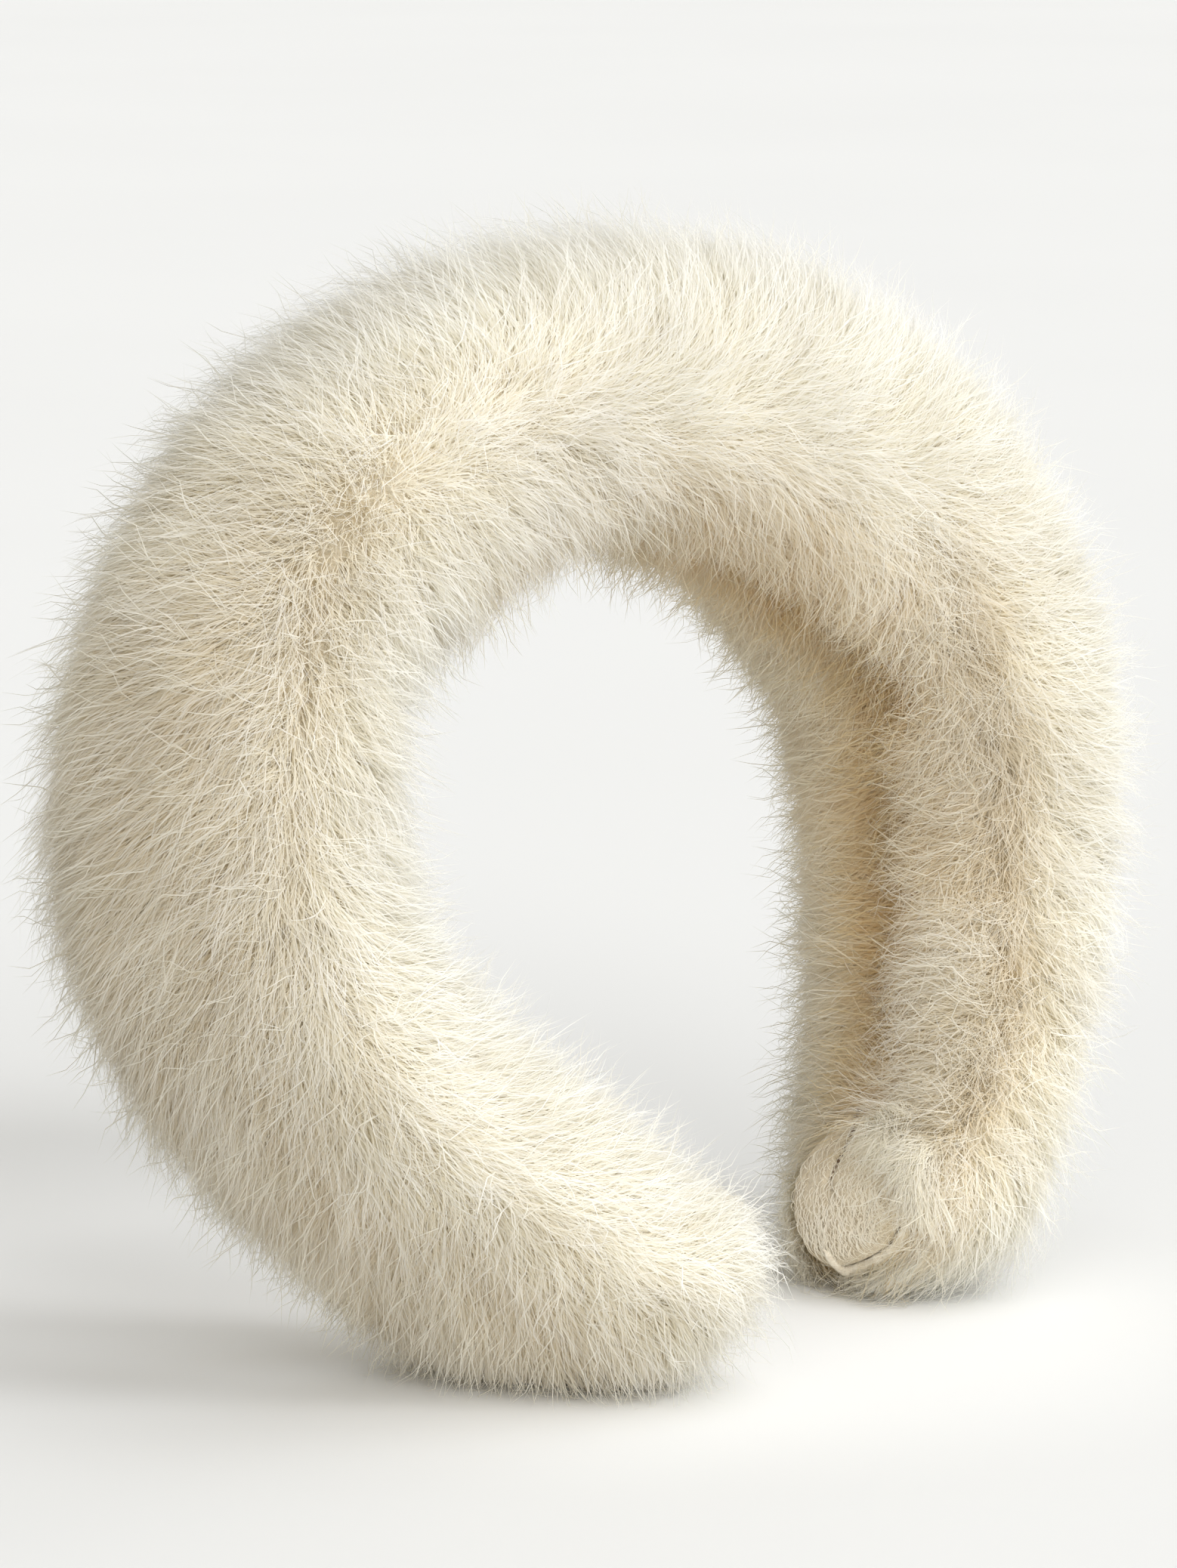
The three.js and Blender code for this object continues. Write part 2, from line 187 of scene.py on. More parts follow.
@dataclass
class BandForm:
    """The padded band's plain form, as a table over distance along it and share of the way round it.

    A place on it is (m, w): m in mm from the left tip along the surface, w the share of the way round, 0 at
    the middle of the inner face, 0.25 at the back edge, 0.5 at the middle of the outer face.

    Attributes:
        radius: half width of the centre line.
        rise: height of the centre line's top above its widest point.
        shoulder: how far the upper arcs stand out past an ellipse.
        left, right: the two legs.
        lean: backward slope of the band's plane.
        forward: how far the ends curl to the front.
        twist: how far one end stands ahead of the other.
        roll_all, roll_ends: degrees that the section turns, everywhere and growing towards the ends.
        power: 2 is an elliptic section, more is boxier.
        nose: rounding radius of the closed ends.
        swell_from: mm from an end where the swells begin.
        groove_aside, groove_stray: mm that the closing seam lies off the middle, and strays at groove_at.
        moved: from the form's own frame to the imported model's.
        rows, columns: of the table.
    """

    radius: float = 80.0
    rise: float = 66.0
    shoulder: float = 2.8
    left: Leg = Leg(160.0, 80.5, 33.5, 4.0)
    right: Leg = Leg(146.0, 92.0, 12.0, -7.0)
    lean: float = 0.12
    forward: float = 20.5
    twist: float = 4.0
    stations: tuple[Station, ...] = (
        Station(0.0, 48.0, 45.0),
        Station(0.28, 49.0, 49.0),
        Station(0.56, 59.0, 43.0),
        Station(1.0, 57.0, 31.0),
    )
    roll_all: float = 3.0
    roll_ends: float = 21.0
    power: float = 2.6
    nose: float = 17.0
    swells: tuple[Swell, ...] = (
        Swell(-0.55, 0.2, -0.125, 0.13, -4.2),
        Swell(-0.36, 0.1, -0.08, 0.13, -3.2),
        Swell(0.36, 0.17, 0.15, 0.13, 5.2),
        Swell(0.13, 0.09, 0.1, 0.13, 3.6),
        Swell(-0.76, 0.16, 0.44, 0.16, -2.6),
        Swell(-0.83, 0.1, -0.05, 0.15, 3.4),
    )
    swell_from: Ease = Ease(24.0, 14.0)
    groove_aside: float = -3.5
    groove_stray: float = -5.0
    groove_at: float = 0.45
    groove_span: float = 0.16
    moved: tuple[float, float, float] = (-0.4293, 8.7453, 79.8971)
    rows: int = 760
    columns: int = 192
    reach: float = field(init=False)
    base: Array = field(init=False, repr=False)
    normal: Array = field(init=False, repr=False)
    girth: Array = field(init=False, repr=False)

    def __post_init__(self) -> None:
        """Measures the centre line and fills the table."""
        fine = np.linspace(-1.0, 1.0, 2881)
        line = self.centre(fine)
        self._u = fine
        self._run = np.concatenate([[0.0], np.cumsum(np.linalg.norm(np.diff(line, axis=0), axis=1))])
        self.length = float(self._run[-1])
        self.reach = self.length - 2 * self.nose + math.pi * self.nose
        m = np.linspace(0.0, self.reach, self.rows)
        self.base, self.girth = self._sections(m)
        u = self.share_at(m)[:, None]
        turn = np.arange(self.columns)[None, :] / self.columns
        rise = np.zeros((self.rows, self.columns))
        for s in self.swells:
            rise += s.by * hump(u, s.at, s.span) * hump(half_turn(turn - s.round), 0.0, s.wide)
        rise *= self.swell_from(self.from_end(m)[:, None])
        self.base = self.base + self._normals(m) * rise[..., None]
        self.normal = self._normals(m)
        near_tip = 4.0
        tips, behind = np.array([0.0, self.reach]), np.array([near_tip, self.reach - near_tip])
        self.tips = unit(self._origin(tips) - self._origin(behind))
        self.normal[0], self.normal[-1] = self.tips

    def _normals(self, m: Array) -> Array:
        """Outward normals of the table."""
        along = np.gradient(self.base, axis=0)
        round_ = np.roll(self.base, -1, axis=1) - np.roll(self.base, 1, axis=1)
        normal = unit(np.cross(round_, along))
        out = self.base - self._origin(m)[:, None]
        flip = np.sign((normal * out).sum(-1).mean(axis=1))
        return normal * np.where(flip == 0, 1, flip)[:, None, None]

    def groove(self, m: Array) -> Array:
        """Where the closing seam runs on the inner face, in mm from its middle."""
        far = np.abs(self.share_at(m))
        return self.groove_aside + self.groove_stray * hump(far, self.groove_at, self.groove_span)

    def centre(self, u: Array) -> Array:
        """The centre line at u, from -1 at the left end to 1 at the right end."""
        def pick(name: str) -> Array:
            """A leg's size on each side."""
            return np.where(u < 0, getattr(self.left, name), getattr(self.right, name))

        th = np.radians(u * pick("sweep"))
        up = np.cos(th)
        low = np.clip(-up, 0.0, 1.0) ** 2
        z = np.where(up > 0, self.rise, pick("drop")) * up
        out = self.radius + np.where(up > 0, self.shoulder * np.sin(2 * th) ** 2, 0.0) - pick("pinch") * low
        y = self.lean * z - self.forward * low + self.twist * u**3
        return np.stack([out * np.sin(th), y, z], axis=-1)

    def from_end(self, m: Array) -> Array:
        """Distance along the centre line from the nearer end, for a surface distance m."""
        d = np.minimum(m, self.reach - m)
        bend = self.nose * (1 - np.cos(np.clip(d / self.nose, 0, math.pi / 2)))
        return np.where(d < self.nose * math.pi / 2, bend, self.nose + d - self.nose * math.pi / 2)

    def _run_at(self, m: Array) -> Array:
        """Arc length along the centre line for a surface distance m."""
        e = self.from_end(m)
        return np.where(m < self.reach / 2, e, self.length - e)

    def share_at(self, m: Array) -> Array:
        """Place along the band from -1, left end, to 1, right end, for a surface distance m."""
        return np.interp(self._run_at(np.clip(m, 0.0, self.reach)), self._run, self._u)

    def _origin(self, m: Array) -> Array:
        """Centre line points at m."""
        return self.centre(self.share_at(m))

    def _by_station(self, name: str, share: Array) -> Array:
        """A section size eased between the stations."""
        out = np.zeros_like(share)
        for a, b in zip(self.stations, self.stations[1:]):
            low, high = getattr(a, name), getattr(b, name)
            eased = low + (high - low) * smooth((share - a.at) / (b.at - a.at))
            out = np.where(share >= a.at, eased, out)
        return out

    def _sections(self, m: Array) -> tuple[Array, Array]:
        """Points of each section, spaced evenly round it, and its girth.

        Args:
            m: surface distances of the sections.

        Returns:
            Points of shape (rows, columns, 3), and girths of shape (rows,).
        """
        u, step = self.share_at(m), 1e-3
        share = np.abs(u)
        along = unit(self.centre(np.minimum(1.0, u + step)) - self.centre(np.maximum(-1.0, u - step)))
        origin = self.centre(u)
        back = unit(np.array([0.0, 1.0, 0.0]) - along * along[:, 1:2])
        out = unit(np.cross(along, back))
        out *= np.where((out * origin).sum(-1) < 0, -1.0, 1.0)[:, None]
        roll = np.radians(self.roll_all + self.roll_ends * share**3)[:, None]
        wide = back * np.cos(roll) + out * np.sin(roll)
        outward = out * np.cos(roll) - back * np.sin(roll)
        e = self.from_end(m)
        arc = np.sqrt(np.clip(1 - (1 - np.clip(e / self.nose, 0, 1)) ** 2, 0, 1))
        thick = self._by_station("thickness", share) / 2
        shrink = np.minimum(self.nose, thick * 0.96) * (1 - arc)
        wider = np.where(u < 0, self.left.wider, self.right.wider) / 2 * smooth((share - 0.5) / 0.5)
        half_w = self._by_station("width", share) / 2 + wider - shrink
        half_t = thick - shrink
        cos, sin = ease_power(np.linspace(-math.pi / 2, 1.5 * math.pi, 1081), self.power)
        points = np.zeros((len(m), self.columns, 3))
        girth = np.zeros(len(m))
        want = np.arange(self.columns) / self.columns
        for i in range(len(m)):
            x, y = half_w[i] * cos, half_t[i] * sin
            run_round = np.concatenate([[0.0], np.cumsum(np.hypot(np.diff(x), np.diff(y)))])
            girth[i] = run_round[-1]
            xs, ys = (np.interp(want * girth[i], run_round, c) for c in (x, y))
            points[i] = origin[i] + xs[:, None] * wide[i] + ys[:, None] * outward[i]
        return points, girth

    def girth_at(self, m: Array) -> Array:
        """Length once round the band at m, at least 12 mm so that the tips stay steady."""
        return np.maximum(12.0, np.interp(m, np.linspace(0, self.reach, self.rows), self.girth))

    def place(self, m: Array, w: Array, h: Array) -> tuple[Array, Array]:
        """Points h above the plain form at (m, w), and the outward normals there.

        Args:
            m: surface distances; past a tip the point goes straight on.
            w: shares of the way round, of any whole turn.
            h: heights along the normal.

        Returns:
            Points and normals of shape (..., 3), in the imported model's frame, in mm.
        """
        over = m - np.clip(m, 0.0, self.reach)
        i = np.clip(m, 0.0, self.reach) / self.reach * (self.rows - 1)
        j = np.mod(w, 1.0) * self.columns
        i0 = np.minimum(i.astype(int), self.rows - 2)
        j0 = j.astype(int) % self.columns
        j1 = (j0 + 1) % self.columns
        fi, fj = (i - i0)[..., None], (j - np.floor(j))[..., None]

        def mix(t: Array) -> Array:
            """Bilinear value of a table."""
            low, high = (t[i, j0] * (1 - fj) + t[i, j1] * fj for i in (i0, i0 + 1))
            return low * (1 - fi) + high * fi

        n = unit(mix(self.normal))
        tip = np.where((over < 0)[..., None], self.tips[0], self.tips[1])
        p = mix(self.base) + n * h[..., None] + tip * np.abs(over)[..., None]
        return p + np.array(self.moved), n


# ---------------------------------------------------------------- finishes


class Graph:
    """A material's node tree, with short calls to add and join nodes."""

    def __init__(self, name: str) -> None:
        """Makes an empty material of that name."""
        self.material = bpy.data.materials.new(name)
        self.material.use_nodes = True
        self.tree = self.material.node_tree
        self.tree.nodes.clear()

    def add(self, kind: str, **sockets: object) -> bpy.types.Node:
        """Adds a node.

        Args:
            kind: the node's type, without the ShaderNode prefix.
            **sockets: input values or sockets to join, by input name with _ for a space, or by i and the
                input's number; a name in capitals sets the node's own property in lower case.

        Returns:
            The new node.
        """
        node = self.tree.nodes.new("ShaderNode" + kind)
        for key, value in sockets.items():
            if key.isupper():
                setattr(node, key.lower(), value)
                continue
            socket = node.inputs[int(key[1:]) if key[-1].isdigit() else key.replace("_", " ")]
            if isinstance(value, Socket):
                self.tree.links.new(value, socket)
            else:
                socket.default_value = value
        return node

    def noise(self, scale: float, detail: float, **sockets: float) -> Socket:
        """Adds noise in the piece's own coordinates and returns its value."""
        where = self.add("TexCoord").outputs["Object"]
        return self.add("TexNoise", Vector=where, Scale=scale, Detail=detail, **sockets).outputs["Fac"]

    def blend(self, fine: Socket, broad: Socket, share: float) -> Socket:
        """Adds up two noises, of which fine has that share."""
        part = self.add("Math", OPERATION="MULTIPLY", i0=fine, i1=share).outputs[0]
        return self.add("Math", OPERATION="MULTIPLY_ADD", i0=broad, i1=1 - share, i2=part).outputs[0]

    def times(self, first: Socket, second: Socket | tuple[float, ...]) -> Socket:
        """Multiplies two colours."""
        node = self.add("Mix", DATA_TYPE="RGBA", BLEND_TYPE="MULTIPLY", i0=1.0, i6=first, i7=second)
        return node.outputs[2]

    def ramp(self, fac: Socket, stops: tuple[tuple[float, Colour], ...]) -> Socket:
        """Adds a colour ramp over fac and returns its colour output."""
        node = self.add("ValToRGB", Fac=fac)
        ramp = node.color_ramp
        while len(ramp.elements) < len(stops):
            ramp.elements.new(0.5)
        for element, (at, colour) in zip(ramp.elements, stops):
            element.position, element.color = at, (*colour, 1.0)
        return node.outputs["Color"]

    def body(self, specular: float, **sockets: object) -> Socket:
        """Adds the main shader with its gloss set, and returns its output."""
        node = self.add("BsdfPrincipled", **sockets)
        node.inputs["Specular IOR Level"].default_value = specular
        return node.outputs[0]

    def finish(self, shader: Socket) -> bpy.types.Material:
        """Joins the shader to the output and returns the material."""
        self.tree.links.new(shader, self.add("OutputMaterial").inputs["Surface"])
        return self.material


@dataclass(frozen=True)
class FurFinish:
    """Dyed plush fibre: cream at the tip, browner at the root, with light passing through it."""

    name: str = "plush_fibre"
    tint: str = "tint"
    through: float = 0.5
    roughness: float = 0.5
    sheen: float = 0.4
    specular: float = 0.5
    soiled: Colour = (0.93, 0.92, 0.90)
    warm: Colour = (1.0, 0.99, 0.94)

    def make(self) -> bpy.types.Material:
        """Builds the material: the strands' tint, painted shade included, in faint clouds, warmer where
        light passes through.
        """
        g = Graph(self.name)
        tint = g.add("Attribute", ATTRIBUTE_NAME=self.tint).outputs["Color"]
        patchy = g.ramp(g.noise(60.0, 2.0), ((0.3, self.soiled), (0.7, (1.0, 1.0, 1.0))))
        colour = g.times(tint, patchy)
        body = g.body(self.specular, Base_Color=colour, Roughness=self.roughness, Sheen_Weight=self.sheen)
        glow = g.add("BsdfTranslucent", Color=g.times(colour, (*self.warm, 1.0)))
        both = g.add("MixShader", Fac=self.through, i1=body, i2=glow.outputs[0])
        return g.finish(both.outputs[0])


@dataclass(frozen=True)
class BackingFinish:
    """The dense short wool under the fur, with the streaks and shadows of its roots."""

    name: str = "plush_backing"
    tint: str = "tint"
    deep: Colour = (0.80, 0.67, 0.45)
    pale: Colour = (0.96, 0.90, 0.76)

    def make(self) -> bpy.types.Material:
        """Builds the material from two sizes of noise in the piece's own coordinates."""
        g = Graph(self.name)
        fine, broad = g.noise(900.0, 5.0, Roughness=0.7), g.noise(110.0, 3.0)
        wool = g.ramp(g.blend(fine, broad, 0.6), ((0.34, self.deep), (0.66, self.pale)))
        # painted shade of the seam and the parting, from the piece's tint
        painted_shade = g.add("Attribute", ATTRIBUTE_NAME=self.tint).outputs["Color"]
        bump = g.add("Bump", Height=fine, Strength=0.9, Distance=0.002)
        return g.finish(g.body(0.05, Base_Color=g.times(wool, painted_shade), Roughness=0.95, Normal=bump.outputs[0]))


@dataclass(frozen=True)
class ClothFinish:
    """Finely napped suede-like cloth with a faint weave under the nap."""

    name: str = "napped_cloth"
    deep: Colour = (0.56, 0.46, 0.31)
    pale: Colour = (0.83, 0.73, 0.55)
    bump: float = 0.5

    def make(self) -> bpy.types.Material:
        """Builds the material: mottled colour, brushed nap and a felt-like bump."""
        g = Graph(self.name)
        nap, mottle = g.noise(1400.0, 6.0, Roughness=0.65, Distortion=0.6), g.noise(190.0, 3.0)
        colour = g.ramp(g.blend(nap, mottle, 0.65), ((0.36, self.deep), (0.60, self.pale)))
        bump = g.add("Bump", Height=nap, Strength=self.bump, Distance=0.0006).outputs[0]
        return g.finish(g.body(0.15, Base_Color=colour, Roughness=0.88, Sheen_Weight=0.35, Normal=bump))


@dataclass(frozen=True)
class FloorFinish:
    """Smooth pale studio floor, with a painted pool of light round the object that fades out from near to
    far metres.
    """

    name: str = "studio_floor"
    colour: Colour = (0.69, 0.69, 0.675)
    near: float = 0.03
    far: float = 0.11
    # how much paler the painted pool of light leaves the floor round the object
    lift: float = 1.16

    def make(self) -> bpy.types.Material:
        """Builds the floor's plain matte material, paler round where the object stands with a painted pool
        of light.
        """
        g = Graph(self.name)
        low, paler = (tuple(c * k for c in self.colour) for k in (0.985, self.lift))
        plain = g.ramp(g.noise(3.0, 2.0), ((0.3, low), (0.7, self.colour)))
        where = g.add("TexCoord").outputs["Object"]
        away = g.add("VectorMath", OPERATION="LENGTH", i0=where).outputs["Value"]
        share = g.add("MapRange", INTERPOLATION_TYPE="SMOOTHSTEP", i0=away, i1=self.near, i2=self.far)
        colour = g.add("Mix", DATA_TYPE="RGBA", i0=share.outputs[0], i6=(*paler, 1.0), i7=plain).outputs[2]
        return g.finish(g.body(0.2, Base_Color=colour, Roughness=0.75))


# ---------------------------------------------------------------- meshes


def mesh_object(name: str, points: Array, faces: list[Array],
                material: bpy.types.Material) -> bpy.types.Object:
    """Makes an object from points in mm and blocks of faces with the same number of corners.

    Args:
        name: the object's name.
        points: (n, 3) in mm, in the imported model's frame.
        faces: blocks of shape (k, corners) of point indices.
        material: its one material.

    Returns:
        The new object, linked to the scene.
    """
    me = bpy.data.meshes.new(name)
    me.vertices.add(len(points))
    me.vertices.foreach_set("co", (points * MM).astype(np.float32).ravel())
    corners = np.concatenate([f.ravel() for f in faces]).astype(np.int32)
    sizes = np.concatenate([np.full(len(f), f.shape[1], np.int32) for f in faces])
    me.loops.add(len(corners))
    me.loops.foreach_set("vertex_index", corners)
    me.polygons.add(len(sizes))
    me.polygons.foreach_set("loop_start", np.concatenate([[0], np.cumsum(sizes)[:-1]]).astype(np.int32))
    me.polygons.foreach_set("loop_total", sizes)
    me.update(calc_edges=True)
    me.validate()
    me.materials.append(material)
    me.polygons.foreach_set("use_smooth", np.ones(len(sizes), bool))
    ob = bpy.data.objects.new(name, me)
    bpy.context.scene.collection.objects.link(ob)
    return ob


def grid_faces(rows: int, columns: int, closed: bool) -> Array:
    """Quads of a grid of points stored row by row; closed joins the last column to the first."""
    i, j = np.meshgrid(np.arange(rows - 1), np.arange(columns if closed else columns - 1), indexing="ij")
    k = (j + 1) % columns
    corners = [i * columns + j, i * columns + k, (i + 1) * columns + k, (i + 1) * columns + j]
    return np.stack(corners, -1).reshape(-1, 4)


def end_fans(rows: int, columns: int) -> Array:
    """Triangles that close the first and last row of a closed grid on the two points stored after it."""
    j = np.arange(columns)
    k, last = (j + 1) % columns, (rows - 1) * columns
    start = np.stack([j, k, np.full_like(j, rows * columns)], -1)[:, ::-1]
    return np.concatenate([start, np.stack([last + j, last + k, np.full_like(j, rows * columns + 1)], -1)])


def set_tint(ob: bpy.types.Object, name: str, tints: Array) -> None:
    """Gives each point of a piece its own colour, under that name."""
    rgba = np.concatenate([tints, np.ones((len(tints), 1))], 1)
    layer = ob.data.color_attributes.new(name, "FLOAT_COLOR", "POINT")
    layer.data.foreach_set("color", rgba.astype(np.float32).ravel())


# ---------------------------------------------------------------- fur


@dataclass(frozen=True)
class TabSize:
    """Outline of the cloth tab on the inner face of an end, in mm from the tip and across."""

    length: float = 27.0
    width: float = 25.0
    centre: float = 17.0
    power: float = 2.4
    recess: float = 2.6

    def reach(self, d: Array, b: Array, grow: float = 0.0) -> Array:
        """How far (d, b) is from the tab's middle, where 1 is its outline grown by grow."""
        a = np.abs((d - self.centre) / (self.length / 2 + grow)) ** self.power
        c = np.abs(b / (self.width / 2 + grow)) ** self.power
        return (a + c) ** (1 / self.power)


@dataclass(frozen=True)
class Slant:
    """How far the pile leans towards an end, in degrees, at a place along the band from -1 to 1."""

    at: float
    outer: float
    inner: float


@dataclass(frozen=True)
class Spot:
    """Places in the coat, in the measures that its lay and its painted shade go by.

    Attributes:
        m: mm along the surface from the left tip.
        w: share of the way round.
        girth: mm once round the band.
        u: place along the band from -1, left end, to 1, right end.
        near: mm along the surface from the nearer tip.
        across: mm from the middle of the inner face; plus goes to the back edge.
        off: mm from the parting; plus goes over the inner face.
        back: mm from the line opposite the parting.
        seam: where the closing seam runs, in mm across.
    """

    m: Array
    w: Array
    girth: Array
    u: Array
    near: Array
    across: Array
    off: Array
    back: Array
    seam: Array


@dataclass
class Lay:
    """Which way the pile lies at each place.

    It parts along a line near the front edge. On each side it turns away from that line and slants towards
    the ends. On the line itself it runs along the band, away from a crown on the left shoulder, where it
    stands up.

    Attributes:
        parting_left, parting_right: share round the band where the pile parts, on each half.
        parting_turn: where the parting goes over from one to the other.
        drifts: height, wave length and start of each wander of the parting.
        crown, crown_wide: place of the crown along the band, and how far it spreads.
        blend, far_blend: mm over which the lay turns at the parting and at the line opposite it.
        wander, fine_wander: degrees that the lay strays, in broad and in small patches.
        fan_back, fan_front: share of the lay lost beside a tab, and the mm across and the spread of that
            strip, on the back edge's side and on the front edge's.
        along_parting, along_back: how strongly the pile runs along on the parting, and opposite it.
        stands, stands_parting: how upright it is where the lay turns, and on the parting.
        tab_stretch: mm from the tip where the pile beside a tab begins.
        combed_from, combed_to, combed: the smooth stretch at the top, and how smooth it is.
        tousled_at, tousled_wide, tousled_from: the tousled strip on the inner face of the right half.
        parting_wide: mm from the parting where the pile is tousled.
        furrow_wide, furrow_left, furrow_right, furrow_ends: the bare furrow along the parting.
    """

    form: BandForm
    parting_left: float = -0.345
    parting_right: float = -0.2
    parting_turn: Ease = Ease(-0.42, 0.6)
    drifts: tuple[tuple[float, float, float], ...] = ((0.012, 17.0, 0.0), (0.008, 7.3, 1.0))
    crown: float = -0.27
    crown_wide: float = 0.11
    blend: float = 13.0
    far_blend: float = 9.0
    wander: float = 12.0
    fine_wander: float = 7.2
    fan_back: tuple[float, float, float] = (1.6, 15.5, 3.2)
    fan_front: tuple[float, float, float] = (0.5, -15.0, 6.0)
    along_parting: float = 0.9
    along_back: float = 0.5
    stands: float = 0.8
    stands_parting: float = 0.35
    tab_stretch: Ease = Ease(37.0, -9.0)
    combed_from: Ease = Ease(-0.25, 0.25)
    combed_to: Ease = Ease(0.42, -0.25)
    combed: float = 0.7
    tousled_at: float = 14.0
    tousled_wide: float = 20.0
    tousled_from: Ease = Ease(0.2, 0.2)
    parting_wide: float = 17.0
    furrow_wide: float = 4.6
    furrow_left: Ease = Ease(-0.2, -0.12)
    furrow_right: Ease = Ease(0.28, 0.14)
    furrow_ends: Ease = Ease(1.0, -0.12)
    slants: tuple[Slant, ...] = (
        Slant(-1.0, 62.0, 66.0),
        Slant(-0.85, 42.0, 44.0),
        Slant(-0.7, 40.0, 32.0),
        Slant(-0.56, 40.0, 36.0),
        Slant(-0.46, 31.0, 42.0),
        Slant(-0.33, 20.0, 14.0),
        Slant(-0.15, 9.0, -4.0),
        Slant(0.0, -2.0, -25.0),
        Slant(0.2, -4.0, -47.0),
        Slant(0.4, -4.0, -48.0),
        Slant(0.55, -3.0, -32.0),
        Slant(0.75, -6.0, -10.0),
        Slant(0.9, -20.0, -18.0),
        Slant(1.0, -58.0, -60.0),
    )
    seed: int = 4

    def spot(self, m: Array, w: Array) -> Spot:
        """Measures the places (m, w)."""
        girth, u = self.form.girth_at(m), self.form.share_at(m)
        t = self.parting_turn(u)
        drift = sum(height * np.sin(m / wave + start) for height, wave, start in self.drifts)
        parting = self.parting_left * (1 - t) + self.parting_right * t + drift
        q = half_turn(w - parting)
        return Spot(
            m=m,
            w=w,
            girth=girth,
            u=u,
            near=np.minimum(m, self.form.reach - m),
            across=half_turn(w) * girth,
            off=q * girth,
            back=(0.5 - np.abs(q)) * girth,
            seam=self.form.groove(m),
        )

    def beside_tab(self, at: Spot, middle: float, wide: float) -> Array:
        """1 where the pile grows beside a tab, round a middle in mm across; 0 elsewhere."""
        return self.tab_stretch(at.near) * hump(at.across, middle, wide)

    def rough(self, at: Spot) -> Array:
        """How tousled the pile is: 1 beside the parting and near 0 where it lies combed."""
        top = self.combed_from(at.u) * self.combed_to(at.u)
        inside = hump(at.off, self.tousled_at, self.tousled_wide) * self.tousled_from(at.u)
        return np.clip((hump(at.off, 0.0, self.parting_wide) + inside) * (1 - self.combed * top), 0.0, 1.0)

    def furrow(self, at: Spot) -> Array:
        """Share of the full depth of the bare furrow along the parting; it fades over the band's top."""
        halves = 0.6 * self.furrow_left(at.u) + self.furrow_right(at.u)
        broken = 0.7 + 0.3 * self.noise(at.m, at.off, 9.0, 5)
        return hump(at.off, 0.0, self.furrow_wide) * halves * self.furrow_ends(np.abs(at.u)) * broken

    def noise(self, x: Array, y: Array, scale: float, seed: int) -> Array:
        """Smooth repeatable noise, about -1 to 1, over a plane in mm: seven waves in random directions."""
        rng = np.random.default_rng(self.seed + seed)
        out = np.zeros_like(x)
        for _ in range(7):
            turn, start = rng.uniform(0, 2 * math.pi), rng.uniform(0, 2 * math.pi)
            waves = rng.uniform(0.6, 1.6) / scale
            out += np.sin((x * math.cos(turn) + y * math.sin(turn)) * waves * 2 * math.pi + start)
        return out / 3.2

    def direction(self, at: Spot) -> tuple[Array, Array, Array]:
        """Lay at some places.

        Returns:
            Steps along the band (plus to the right end) and round it, together of length 1, and how upright
            the pile stands, from 0, lying, to 1, standing.
        """
        marks = [s.at for s in self.slants]
        outer = np.interp(at.u, marks, [s.outer for s in self.slants])
        inner = np.interp(at.u, marks, [s.inner for s in self.slants])
        x, y = at.m, at.w * at.girth
        wander = self.wander * self.noise(x, y, 30.0, 1) + self.fine_wander * self.noise(x, y, 10.0, 2)
        lean = np.radians(np.where(at.off >= 0, inner, outer) + wander)
        turned, opposite = np.tanh(at.off / self.blend), np.tanh(at.back / self.far_blend)
        part = 1 - np.abs(turned)
        drift = np.tanh((at.u - self.crown) / self.crown_wide)
        round_ = turned * opposite * np.cos(lean)
        along = -np.sin(lean) * (1 - part) + drift * part * self.along_parting
        along += np.sign(drift) * (1 - opposite) * self.along_back
        (lost_round, *back_strip), (lost_along, *front_strip) = self.fan_back, self.fan_front
        round_ = round_ * (1 - lost_round * self.beside_tab(at, *back_strip))
        along = along * (1 - lost_along * self.beside_tab(at, *front_strip))
        size = np.maximum(np.hypot(along, round_), 1e-6)
        upright = np.clip(1 - size, 0.0, 1.0) * self.stands + self.stands_parting * part
        return along / size, round_ / size, np.clip(upright, 0.0, 1.0)


@dataclass(frozen=True)
class ShadePatch:
    """A soft oval of painted shade: place along the band, mm off the parting, both spreads, and share."""

    at: float
    span: float
    off: float
    wide: float
    share: float


EVERYWHERE = Ease(-9.0, 1.0)


@dataclass(frozen=True)
class Strip:
    """A soft strip of painted shade along the band.

    Attributes:
        middle, wide: mm from the line that it follows, and how far it spreads.
        begins, ends: where along the band it fades in and out.
        share: its strength.
    """

    middle: float
    wide: float
    begins: Ease
    ends: Ease
    share: float

    def over(self, beside: Array, u: Array) -> Array:
        """The strip's strength at mm beside its line and u along the band."""
        return self.share * hump(beside, self.middle, self.wide) * self.begins(u) * self.ends(u)


